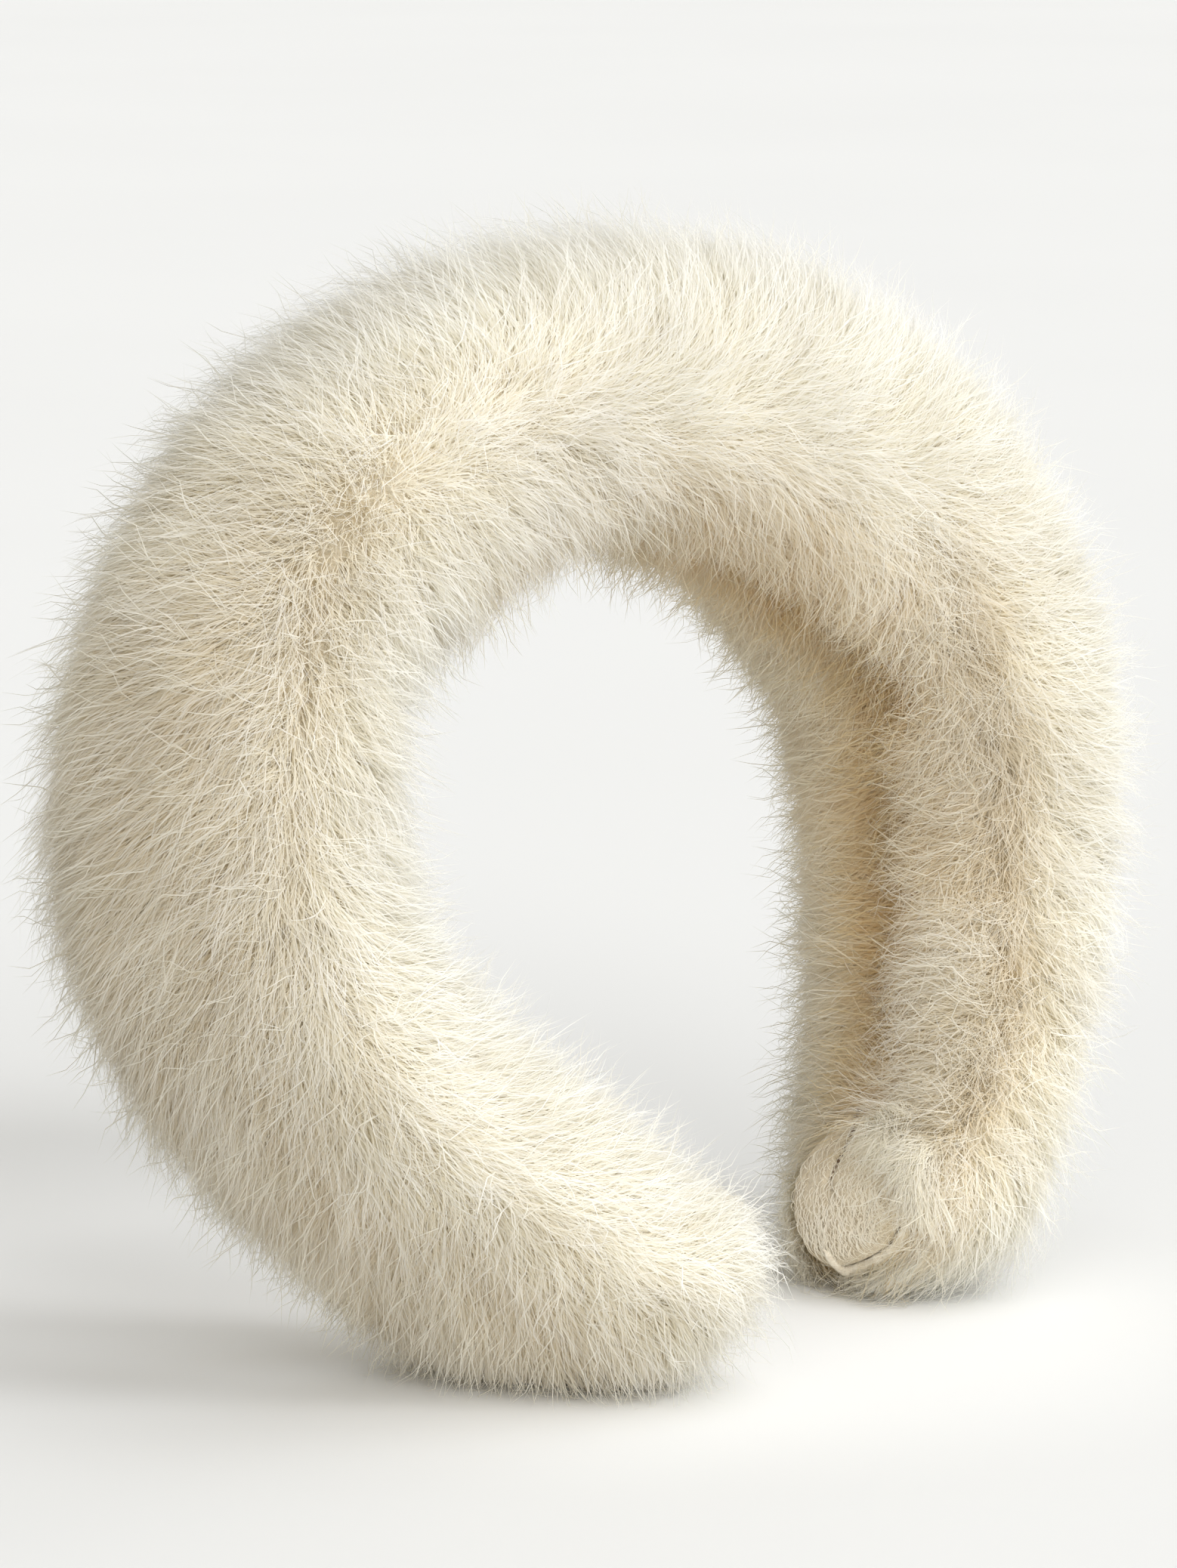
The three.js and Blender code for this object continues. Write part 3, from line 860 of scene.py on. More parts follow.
@dataclass
class PaintedShade:
    """Painted shade over the coat: painted warm shade, painted darkening in the seam, along the parting and
    under the arch, and painted dimming.

    Attributes:
        inside_wide, inside_from, inside_to, inside_fade: painted warm shade on the inner face, and where it
        fades.
        warm_seam: the strip of painted warm shade down the seam.
        back_off, back_from, back_share: painted warm shade on the outer face of the left half, its shaded
            side.
        bare_from, bare, tousled: painted warm shade in the furrow, and in tousled fur.
        sole_wide, sole_from, sole_share: painted warm shade on the soles.
        seam, left, right, under: painted shade in the seam, along the parting on each half, under the arch.
        patchy: how uneven it is along the parting.
        shade_loss: share of red, green and blue, a row each, that painted shade takes away in the seam,
            along the parting and under the arch.
        shade_patches: painted shade at the crown of the coat and on the brow in front of it.
        dim_near, dim_base_from, dim_base: mm from a tip where painted dimming begins, and its strength by
            half.
        dim_off, dim_from, dim_left: the more dimmed outer face of the left half, its shaded side.
        undimmed_wide, undimmed_from: the inner face, where nothing is dimmed.
    """

    lay: Lay
    inside_wide: float = 27.0
    inside_from: Ease = Ease(-0.5, 0.35)
    inside_to: Ease = Ease(0.62, 0.25)
    inside_fade: Line = Line(1.0, -0.6)
    warm_seam: Strip = Strip(0.0, 6.0, Ease(-0.2, 0.3), EVERYWHERE, 0.35)
    back_off: Ease = Ease(0.0, -20.0)
    back_from: Ease = Ease(-0.2, -0.3)
    back_share: float = 0.55
    bare_from: Ease = Ease(0.0, 0.3)
    bare: Line = Line(0.2, 0.2)
    tousled: float = 0.06
    sole_wide: float = 22.0
    sole_from: Ease = Ease(0.93, 0.05)
    sole_share: float = 0.45
    seam: Strip = Strip(-1.0, 4.5, Ease(-0.1, 0.4), EVERYWHERE, 1.0)
    left: Strip = Strip(-4.0, 9.0, Ease(-0.85, 0.3), Ease(-0.22, -0.1), 0.65)
    right: Strip = Strip(3.0, 5.0, Ease(0.25, 0.15), Ease(0.97, -0.1), 1.75)
    under: Strip = Strip(-12.0, 13.0, Ease(-0.1, 0.2), Ease(0.45, -0.2), 1.0)
    patchy: Line = Line(0.75, 0.25)
    shade_loss: tuple[Colour, ...] = ((0.15, 0.12, 0.005), (0.27, 0.14, 0.03), (0.50, 0.175, 0.07))
    shade_patches: tuple[ShadePatch, ...] = (
        ShadePatch(-0.345, 0.07, -1.0, 15.0, 0.55),
        ShadePatch(-0.09, 0.15, 8.0, 13.0, 0.55),
    )
    dim_near: Ease = Ease(60.0, 38.0)
    dim_base_from: Ease = Ease(0.0, -0.15)
    dim_base: Line = Line(1.0, -0.5)
    dim_off: Ease = Ease(0.0, -25.0)
    dim_from: Ease = Ease(-0.3, -0.2)
    dim_left: float = 2.6
    undimmed_wide: float = 30.0
    undimmed_from: Ease = Ease(-0.3, 0.3)

    def warm_shade(self, at: Spot) -> Array:
        """How much painted warm shade there is: 0 on the open faces, 1 down inside the right half beside the
        seam.
        """
        inside = plateau(at.across, self.inside_wide) * self.inside_from(at.u)
        inside = inside * self.inside_fade(self.inside_to(at.u))
        seam = self.warm_seam.over(at.across - at.seam, at.u)
        back = self.back_share * self.back_off(at.off) * self.back_from(at.u)
        bare = self.lay.furrow(at) * self.bare(self.bare_from(at.u)) + self.tousled * self.lay.rough(at)
        sole = self.sole_share * plateau(at.across, self.sole_wide) * self.sole_from(np.abs(at.u))
        return np.clip(inside + seam + back + bare + sole, 0.0, 1.0)

    def shade(self, at: Spot) -> Array:
        """Share of each colour left by painted shade: in the seam, along the parting, under the arch, at the
        crown and brow.
        """
        seam, under = self.seam.over(at.across - at.seam, at.u), self.under.over(at.across, at.u)
        parted = self.left.over(at.off, at.u) + self.right.over(at.off, at.u)
        parted = parted * self.patchy(self.lay.noise(at.m, at.off, 12.0, 6))
        for s in self.shade_patches:
            parted = parted + s.share * hump(at.u, s.at, s.span) * hump(at.off, s.off, s.wide)
        return 1 - np.stack([seam * s + parted * p + under * q for s, p, q in self.shade_loss], axis=-1)

    def dim_shade(self, at: Spot) -> Array:
        """How much painted dimming there is: most on the outer face of the left half, its shaded side, least
        inside and at the ends.
        """
        left = self.dim_off(at.off) * self.dim_from(at.u)
        base = self.dim_base(self.dim_base_from(at.u))
        inside = plateau(at.across, self.undimmed_wide) * self.undimmed_from(at.u)
        return self.dim_near(at.near) * (base + (self.dim_left - base) * left) * (1 - inside)


@dataclass(frozen=True)
class Pile:
    """One kind of strand in the coat.

    Attributes:
        name: what the pieces are called.
        count: strands sown over the whole band.
        length, width: of a strand, in mm.
        base: depth of the root below the plain form, in mm.
        low, high: heights of the tips above the plain form, in mm.
        clump: distance between tufts, in mm.
        gather: how far strands draw together at the tuft's tip, 0 to 1.
        lock: how far tufts differ in height and direction, 0 to 1.
        thin: share left out where the coat is tousled.
        stray: how far a strand turns off the lay, in degrees.
        curl: sideways wave, in mm.
        rise: 1 for a strand that climbs evenly, more for one that soon lies over.
        cut: how finely a strand is divided.
        root: colour share taken from the root tone near the skin.
        tip: colour at the tips.
        stretches: number of pieces that it is cut into along the band.
        seed: for its own scatter.
    """

    name: str
    count: int
    length: float
    width: float
    base: float
    low: float
    high: float
    clump: float
    gather: float
    lock: float
    thin: float
    stray: float
    curl: float
    rise: float
    cut: Cut
    root: float
    tip: Colour
    stretches: int
    seed: int


@dataclass(frozen=True)
class TabMargin:
    """How the fur differs round a tab, in mm from the tip and across.

    Attributes:
        short, short_at, short_wide: the shorter fur on the back edge's side of the tab.
        over_at, over_wide: the longer fur on the front edge's side, which falls over the cloth.
        curl_at, curl_size: the corner curl's middle, from the tip and across, and how far it spreads.
        curl_tuft: where the curl's strands gather.
        curled: share from which a strand belongs to the curl.
        lengths, heights: what the tip, the shorter fur, the longer fur and the curl add, as shares of the
            length and in mm.
    """

    short: Ease = Ease(48.0, -18.0)
    short_at: float = 19.0
    short_wide: float = 11.0
    over_at: float = -15.0
    over_wide: float = 6.0
    curl_at: tuple[float, float] = (31.5, -8.5)
    curl_size: tuple[float, float] = (3.6, 5.0)
    curl_tuft: tuple[float, float] = (30.0, -7.5)
    curled: float = 0.3
    lengths: tuple[float, ...] = (-0.12, -0.15, 0.35, 0.5)
    heights: tuple[float, ...] = (-0.5, -0.3, 1.6, 2.4)


@dataclass(frozen=True)
class Growth:
    """How strands vary, alike in every pile. A Line is a rule over luck, frizz or tousling, from 0 to 1.

    Attributes:
        inside_wide, inside_from: the frizzy strip on the inner face of the right half.
        frizz_inside, frizz_tousled, frizz_most: what that strip and tousling add to frizz, and its limit.
        turn_frizz: a strand's own turn, by frizz.
        turn_tuft, turn_lock: degrees that a tuft turns, by frizz, and how much of that, by the pile's lock.
        length_own, length_tuft: range of a strand's own length, and its tuft's, by luck.
        height_lock, height_tuft: how uneven tufts stand, by tousling, and mm from the lowest to the highest.
        rim_most: share of the tuft distance past which a strand lies no lower.
        reach_upright, reach_power: how far a strand reaches, by how upright it is, and how that grows.
        gather_tuft, gather_tousled: how strands draw together, by luck and by tousling.
        gather_curl, gather_most, gather_power: what the corner curl adds, the limit, and how that grows.
        wave_frizz, wave_own: the sideways wave, by frizz and by a strand's own luck.
        wave_turn, bob_turn, bob: radians of the wave and of the rise and fall with it, and its share.
        start_own, start_tuft: how much of the wave's start is a strand's own and its tuft's.
        follow, follow_from: how much a strand follows the form round, and mm from the tip where that grows.
        tip_short, tip_low: mm from the tip over which the fur is shorter and lower.
        floor_gap, floor_fan: mm that strands keep off the floor at the root, and up to how much more.
        furrow_shade: share of its root tone that a strand keeps longer in the furrow, as painted shade.
    """

    inside_wide: float = 32.0
    inside_from: Ease = Ease(-0.15, 0.3)
    frizz_inside: float = 0.6
    frizz_tousled: float = 0.5
    frizz_most: float = 1.4
    turn_frizz: Line = Line(1.0, 1.0)
    turn_tuft: Line = Line(15.0, 50.0)
    turn_lock: Line = Line(0.3, 0.7)
    length_own: tuple[float, float] = (0.7, 1.2)
    length_tuft: Line = Line(0.85, 0.3)
    height_lock: Line = Line(0.5, 0.7)
    height_tuft: float = 3.2
    rim_most: float = 0.8
    reach_upright: Line = Line(1.0, -0.62)
    reach_power: float = 1.15
    gather_tuft: Line = Line(0.7, 0.6)
    gather_tousled: Line = Line(0.7, 0.5)
    gather_curl: float = 0.5
    gather_most: float = 0.95
    gather_power: float = 1.3
    wave_frizz: Line = Line(1.0, 1.8)
    wave_own: Line = Line(0.4, 1.2)
    wave_turn: float = 5.5
    bob_turn: float = 4.0
    bob: float = 0.6
    start_own: float = 0.5
    start_tuft: float = 6.28
    follow: Line = Line(0.2, 0.45)
    follow_from: Ease = Ease(4.0, 26.0)
    tip_short: float = 26.0
    tip_low: float = 22.0
    floor_gap: float = 0.12
    floor_fan: float = 0.5
    furrow_shade: float = 0.4


@dataclass
class Roots:
    """A pile's strands where they grow, and what each shares with its tuft.

    Attributes:
        at: their places.
        tuft_m, tuft_across: the middle of each strand's tuft, in mm along and across.
        luck: five rows of 0 to 1, the same over a tuft.
        along, round: the lay, with each strand's own turn.
        upright, rough, furrow: what the lay says of the place.
        frizz: how far strands turn and wave on their own.
        short, over, curl: shares of the different fur round a tab.
    """

    at: Spot
    tuft_m: Array
    tuft_across: Array
    luck: Array
    along: Array
    round: Array
    upright: Array
    rough: Array
    furrow: Array
    frizz: Array
    short: Array
    over: Array
    curl: Array


@dataclass
class Coat:
    """The fur itself: strands sown over the form in their lay, in pieces by stretch of the band.

    Attributes:
        dome: mm that a tuft's rim lies below its middle.
        furrow: mm that the parting's furrow sinks.
        seam_sink, seam_wide, seam_from: the valley over the closing seam, in mm, and mm from an end where it
            begins.
        seam_near, seam_far: mm before the seam where strands stop at it instead of crossing.
        clear: mm of bare form left round a tab.
        pressed: height in mm under which only a share of the strands grows on the soles.
        bright: the palest tip.
        root, shaded_root: tones near the skin, plain and under painted warm shade.
        shaded_tip: what painted warm shade leaves of a tip's colour.
        dim_share: share that painted dimming takes away.
    """

    form: BandForm
    lay: Lay
    painted_shade: PaintedShade
    tab: TabSize
    material: bpy.types.Material
    margin: TabMargin = TabMargin()
    growth: Growth = Growth()
    dome: float = 3.6
    furrow: float = 2.1
    seam_sink: float = 3.2
    seam_wide: float = 3.2
    seam_from: Ease = Ease(24.0, 14.0)
    seam_near: float = 1.2
    seam_far: float = 24.0
    clear: float = 0.6
    pressed: tuple[float, float] = (0.4, 0.15)
    bright: Colour = (1.0, 1.0, 0.985)
    root: Colour = (0.94, 0.895, 0.74)
    shaded_root: Colour = (0.90, 0.72, 0.43)
    shaded_tip: Colour = (1.0, 0.955, 0.84)
    dim_share: float = 0.035

    def sow(self, pile: Pile, rng: np.random.Generator) -> tuple[Array, Array]:
        """Root places spread evenly by area, clear of the tabs, sparser on the soles and in the furrow."""
        take = int(pile.count * 2.4)
        m = rng.uniform(0.0, self.form.reach, take)
        w = rng.uniform(0.0, 1.0, take)
        girth = np.interp(m, np.linspace(0, self.form.reach, self.form.rows), self.form.girth)
        keep = rng.uniform(0, 1, take) < girth / self.form.girth.max()
        b = half_turn(w) * girth
        at = self.lay.spot(m, w)
        keep &= (self.tab.reach(at.near, b, self.clear) > 1.0) | (np.abs(b) > girth / 4)
        p, _ = self.form.place(m, w, np.zeros(take))
        height, sole = self.pressed
        keep &= (p[:, 2] > height) | (rng.uniform(0, 1, take) < sole)
        keep &= rng.uniform(0, 1, take) > 0.45 * self.lay.furrow(at) + pile.thin * self.lay.rough(at)
        return m[keep][: pile.count], w[keep][: pile.count]

    def tuft(self, m: Array, a: Array, size: float, seed: int) -> tuple[Array, Array, Array]:
        """Nearest tuft centre to each place on a jittered grid.

        Returns:
            The centre's place along and round in mm, and a whole number that names it.
        """
        def shake(i: Array, j: Array, k: int) -> Array:
            """Repeatable noise in 0..1 for a grid cell, from the fast changing digits of a sine."""
            s = np.sin(i * 127.1 + j * 311.7 + (seed + k) * 74.7) * 43758.5453
            return s - np.floor(s)

        ci, cj = np.round(m / size), np.round(a / size)
        best = np.full(m.shape, np.inf)
        bm, ba, bn = np.zeros_like(m), np.zeros_like(m), np.zeros_like(m)
        for di in (-1, 0, 1):
            for dj in (-1, 0, 1):
                i, j = ci + di, cj + dj
                tm = (i + 0.8 * (shake(i, j, 1) - 0.5)) * size
                ta = (j + 0.8 * (shake(i, j, 2) - 0.5)) * size
                r = (tm - m) ** 2 + (ta - a) ** 2
                near = r < best
                best = np.where(near, r, best)
                bm, ba = np.where(near, tm, bm), np.where(near, ta, ba)
                bn = np.where(near, i * 1009 + j, bn)
        return bm, ba, bn

    def take_root(self, pile: Pile, rng: np.random.Generator) -> Roots:
        """Sows a pile, gathers its strands in tufts and turns each a little off the lay."""
        at, edge, grow = self.lay.spot(*self.sow(pile, rng)), self.margin, self.growth
        tuft_m, tuft_across, name = self.tuft(at.m, at.across, pile.clump, pile.seed)
        lots = 4096
        luck = np.random.default_rng(pile.seed + 1).uniform(0, 1, (5, lots))
        luck = luck[:, np.mod(name, lots).astype(int)]
        along, round_, upright = self.lay.direction(at)
        rough = self.lay.rough(at)
        inner = plateau(at.across, grow.inside_wide) * grow.inside_from(at.u)
        frizz = np.clip(grow.frizz_inside * inner + upright + grow.frizz_tousled * rough, 0, grow.frizz_most)
        own = rng.normal(0, pile.stray, len(at.m)) * grow.turn_frizz(frizz)
        turn = np.radians(own + (luck[0] - 0.5) * grow.turn_tuft(frizz) * grow.turn_lock(pile.lock))
        cos, sin = np.cos(turn), np.sin(turn)
        (curl_near, curl_side), (curl_long, curl_wide) = edge.curl_at, edge.curl_size
        curl = hump(at.near, curl_near, curl_long) * hump(at.across, curl_side, curl_wide)
        curled, (tuft_near, tuft_side) = curl > edge.curled, edge.curl_tuft
        left = at.m < self.form.reach / 2
        return Roots(
            at=at,
            tuft_m=np.where(curled, np.where(left, tuft_near, self.form.reach - tuft_near), tuft_m),
            tuft_across=np.where(curled, tuft_side, tuft_across),
            luck=luck,
            along=along * cos - round_ * sin,
            round=along * sin + round_ * cos,
            upright=upright,
            rough=rough,
            furrow=self.lay.furrow(at),
            frizz=frizz,
            short=edge.short(at.near) * hump(at.across, edge.short_at, edge.short_wide),
            over=self.lay.beside_tab(at, edge.over_at, edge.over_wide),
            curl=curl,
        )

    def round_tab(self, roots: Roots, tip: float, adds: tuple[float, ...]) -> Array:
        """Adds up what the fur round a tab has more or less of, its tip stretch being tip mm long."""
        shares = (Ease(tip, -tip)(roots.at.near), roots.short, roots.over, roots.curl)
        return sum(share * add for share, add in zip(shares, adds))

    def strands(self, pile: Pile) -> dict[str, Array]:
        """Points, normals and tints of every strand of a pile.

        Returns:
            Arrays over strands and steps: "points", "out" (surface normals), "tint", and "m" over strands.
        """
        rng = np.random.default_rng(pile.seed)
        roots, grow = self.take_root(pile, rng), self.growth
        at, luck, n = roots.at, roots.luck, len(roots.at.m)
        t = np.linspace(0, 1, pile.cut.value + 1)[None, :]

        # how long it is and how high it stands
        share = 1 + self.round_tab(roots, grow.tip_short, self.margin.lengths)
        long = pile.length * share * rng.uniform(*grow.length_own, n) * grow.length_tuft(luck[1])
        to_tuft_m, to_tuft_a = roots.tuft_m - at.m, roots.tuft_across - at.across
        rim = np.clip(np.hypot(to_tuft_m, to_tuft_a) / pile.clump, 0, grow.rim_most) ** 2
        uneven = pile.lock * grow.height_lock(roots.rough)
        top = rng.uniform(pile.low, pile.high, n)
        top = top + ((luck[2] - 0.5) * grow.height_tuft - self.dome * rim) * uneven
        top = top + self.round_tab(roots, grow.tip_low, self.margin.heights)

        # its way along and across the form: with the lay, towards its tuft, and in a wave
        go = (long * grow.reach_upright(roots.upright))[:, None] * t**grow.reach_power
        side_m, side_a = -roots.round, roots.along
        off = to_tuft_m * side_m + to_tuft_a * side_a
        gather = pile.gather * grow.gather_tuft(luck[4]) * grow.gather_tousled(roots.rough)
        gather = np.clip(gather + grow.gather_curl * roots.curl, 0, grow.gather_most)
        wave = pile.curl * grow.wave_frizz(roots.frizz) * grow.wave_own(rng.uniform(0, 1, n))
        start = rng.uniform(0, 2 * math.pi, n) * grow.start_own + luck[3] * grow.start_tuft
        sway = wave[:, None] * (np.sin(grow.wave_turn * t + start[:, None]) - np.sin(start)[:, None]) * t
        shift = gather[:, None] * off[:, None] * t**grow.gather_power + sway
        dm = roots.along[:, None] * go + side_m[:, None] * shift
        da = roots.round[:, None] * go + side_a[:, None] * shift
        m, a = at.m[:, None] + dm, self.stop_at_seam(roots, at.across[:, None] + da)

        # its way up, less the furrow and the valley over the seam
        sink = pile.base + self.furrow * roots.furrow
        h = (top + pile.base)[:, None] * (1 - (1 - t) ** pile.rise) - sink[:, None]
        h = h + (grow.bob * wave * roots.frizz)[:, None] * np.sin(grow.bob_turn * t + 2 * start[:, None]) * t
        valley = hump(a, at.seam[:, None], self.seam_wide)
        h = h - self.seam_sink * valley * self.seam_from(self.form.from_end(at.m))[:, None]

        points, out = self.form.place(m, a / self.form.girth_at(m), h)
        follow = grow.follow(grow.follow_from(at.near))[:, None, None]
        points = points * follow + self.flat_paths(at, dm, da, h) * (1 - follow)
        low = grow.floor_gap + grow.floor_fan * rng.uniform(0, 1, (n, 1)) * t
        points[..., 2] = np.maximum(points[..., 2], low)
        # its tint, with painted shade: the root tone kept longer in the furrow, painted warm shade, painted
        # dimming, and darkening in the seam, along the parting, under the arch and at the crown
        depth = t - grow.furrow_shade * roots.furrow[:, None]
        tint = self.tints(pile.root, pile.tip, depth, luck[0], self.painted_shade.warm_shade(at), rng)
        tint = tint * (1 - self.dim_share * self.painted_shade.dim_shade(at))[:, None, None] * self.painted_shade.shade(at)[:, None]
        return {"points": points, "out": out, "tint": tint, "m": at.m}

    def stop_at_seam(self, roots: Roots, a: Array) -> Array:
        """Holds back the strands that would cross the closing seam, given their way across in mm."""
        at = roots.at
        stops = (at.across < at.seam - self.seam_near) & (at.across > at.seam - self.seam_far)
        stop = np.maximum(at.seam - 1.0 + 1.6 * (roots.luck[1] - 0.5), at.across + 1.0)[:, None]
        return np.where(stops[:, None], np.minimum(a, stop + 0.3 * np.maximum(a - stop, 0)), a)

    def flat_paths(self, at: Spot, dm: Array, da: Array, h: Array) -> Array:
        """Strand points that keep to the plane of their root instead of following the form round."""
        zero = np.zeros_like(at.m)
        root, normal = self.form.place(at.m, at.w, zero)
        far = self.form.reach
        ahead, behind = (self.form.place(np.clip(at.m + s, 0, far), at.w, zero)[0] for s in (1, -1))
        plus, minus = (self.form.place(at.m, at.w + s / at.girth, zero)[0] for s in (1, -1))
        run, turn = unit(ahead - behind), unit(plus - minus)
        run = unit(run - normal * (run * normal).sum(-1, keepdims=True))
        turn = unit(turn - normal * (turn * normal).sum(-1, keepdims=True))
        steps = ((run, dm), (turn, da), (normal, h))
        return root[:, None] + sum(way[:, None] * by[..., None] for way, by in steps)

    def tints(self, rooted: float, tip: Colour, t: Array, luck: Array, warm: Array,
              rng: np.random.Generator) -> Array:
        """Colour of each strand's steps, from the root tone to its own tip tone.

        Args:
            rooted: colour share taken from the root tone near the skin.
            tip: colour at the tips.
            t: share of the way to the tip, over strands and steps.
            luck: 0 to 1, the same over a tuft.
            warm: 0 to 1, how much painted warm shade there is.
            rng: for each strand's own tone.

        Returns:
            (strands, steps, 3) colours.
        """
        shade = np.maximum(t, 0) ** 0.8 * (1.25 - 0.25 * rooted) + (1 - rooted) * 0.6
        shade = np.clip(shade, 0, 1)[..., None]
        low, bright = np.array(tip), np.array(self.bright)
        pale = low + (bright - low) * (rng.uniform(0, 1, (len(luck), 1)) * 0.8)
        # painted warm shade makes the tips and roots warmer and darker
        pale = pale * (0.94 + 0.08 * luck[:, None]) * (1 - warm[:, None] * (1 - np.array(self.shaded_tip)))
        root = np.array(self.root) + (np.array(self.shaded_root) - np.array(self.root)) * warm[:, None]
        tint = root[:, None, :] * (1 - shade) + pale[:, None, :] * shade
        return np.clip(tint, 0, 1)

    def ribbons(self, name: str, width: float, part: dict[str, Array], seed: int) -> bpy.types.Object:
        """Turns strands into flat tapering ribbons that face out, as one joined mesh.

        Args:
            name: the piece's name.
            width: of a strand at its root, in mm.
            part: arrays from strands(), already cut to this piece.
            seed: for each ribbon's own roll.

        Returns:
            The piece, with a tint on its points and its own map.
        """
        rng = np.random.default_rng(seed)
        p, out = part["points"], part["out"]
        n, k = p.shape[:2]
        run = unit(np.gradient(p, axis=1))
        across = unit(np.cross(run, out))
        face = unit(np.cross(across, run))
        roll = rng.normal(0, 0.5, (n, 1, 1))
        across = across * np.cos(roll) + face * np.sin(roll)
        taper = np.linspace(1.0, 0.0, k) ** 0.55
        half = 0.5 * width * rng.uniform(0.7, 1.3, (n, 1)) * taper[None, :]
        left, right = p - across * half[..., None], p + across * half[..., None]
        pairs = np.stack([left[:, :-1], right[:, :-1]], 2).reshape(n, -1, 3)
        points = np.concatenate([pairs, p[:, -1:]], 1)
        per = points.shape[1]
        own = unit(np.cross(across, run))
        own *= np.sign((own * out).sum(-1, keepdims=True) + 1e-9)
        soft = unit(0.65 * out + 0.35 * own)
        normals = np.concatenate([np.repeat(soft[:, :-1], 2, axis=1), soft[:, -1:]], 1)
        tints = np.concatenate([np.repeat(part["tint"][:, :-1], 2, axis=1), part["tint"][:, -1:]], 1)
        first = (np.arange(n) * per)[:, None]
        faces = [first + np.array([2 * s, 2 * s + 1, 2 * s + 3, 2 * s + 2]) for s in range(k - 2)]
        faces.append(first + np.array([per - 3, per - 2, per - 1]))
        flip = (np.cross(right[:, 0] - left[:, 0], left[:, 1] - left[:, 0]) * out[:, 0]).sum(-1) < 0
        faces = [np.where(flip[:, None], block[:, ::-1], block) for block in faces]
        ob = mesh_object(name, points.reshape(-1, 3), faces, self.material)
        set_tint(ob, FurFinish.tint, tints.reshape(-1, 3))
        self.unwrap(ob.data, n, k)
        ob.data.normals_split_custom_set_from_vertices(normals.reshape(-1, 3).astype(np.float32).tolist())
        return ob

    def unwrap(self, me: bpy.types.Mesh, n: int, k: int) -> None:
        """Gives each of n ribbons with k steps a small cell of its own on the piece's map."""
        cells = int(math.ceil(math.sqrt(n)))
        cell = np.stack([np.arange(n) % cells, np.arange(n) // cells], -1) / cells
        v = np.concatenate([np.repeat(np.linspace(0, 1, k)[:-1], 2), [1.0]])
        u = np.concatenate([np.tile([0.0, 1.0], k - 1), [0.5]])
        spot = cell[:, None] + (0.15 + 0.7 * np.stack([u, v], -1))[None] / cells
        corner = np.zeros(len(me.loops), np.int32)
        me.loops.foreach_get("vertex_index", corner)
        layer = me.uv_layers.new(name="OFBake")
        layer.data.foreach_set("uv", spot.reshape(-1, 2)[corner].astype(np.float32).ravel())

    def pieces(self, pile: Pile) -> list[bpy.types.Object]:
        """Grows a pile and cuts it into pieces by stretch of the band, from left tip to right tip."""
        grown = self.strands(pile)
        stretch = np.floor(np.clip(grown["m"] / self.form.reach, 0, 0.9999) * pile.stretches)
        made = []
        for index in range(pile.stretches):
            part = {key: value[stretch == index] for key, value in grown.items()}
            made.append(self.ribbons(f"{pile.name}_{index + 1}", pile.width, part, pile.seed + 10 + index))
        return made


@dataclass(frozen=True)
class Overhang:
    """A run of long tufts beside a tab that falls over its margin.

    Attributes:
        count: strands in the run.
        start, end: where the run of roots begins and ends, in mm from the tip and across.
        deep: how far the roots spread off that line, in mm.
        heading: degrees from straight towards the tip; plus turns to the back edge.
        curl: degrees that the heading turns along a strand.
        length, lift: of a strand, and how high it arches, in mm.
    """

    count: int
    start: tuple[float, float]
    end: tuple[float, float]
    deep: float
    heading: float
    curl: float
    length: float
    lift: float


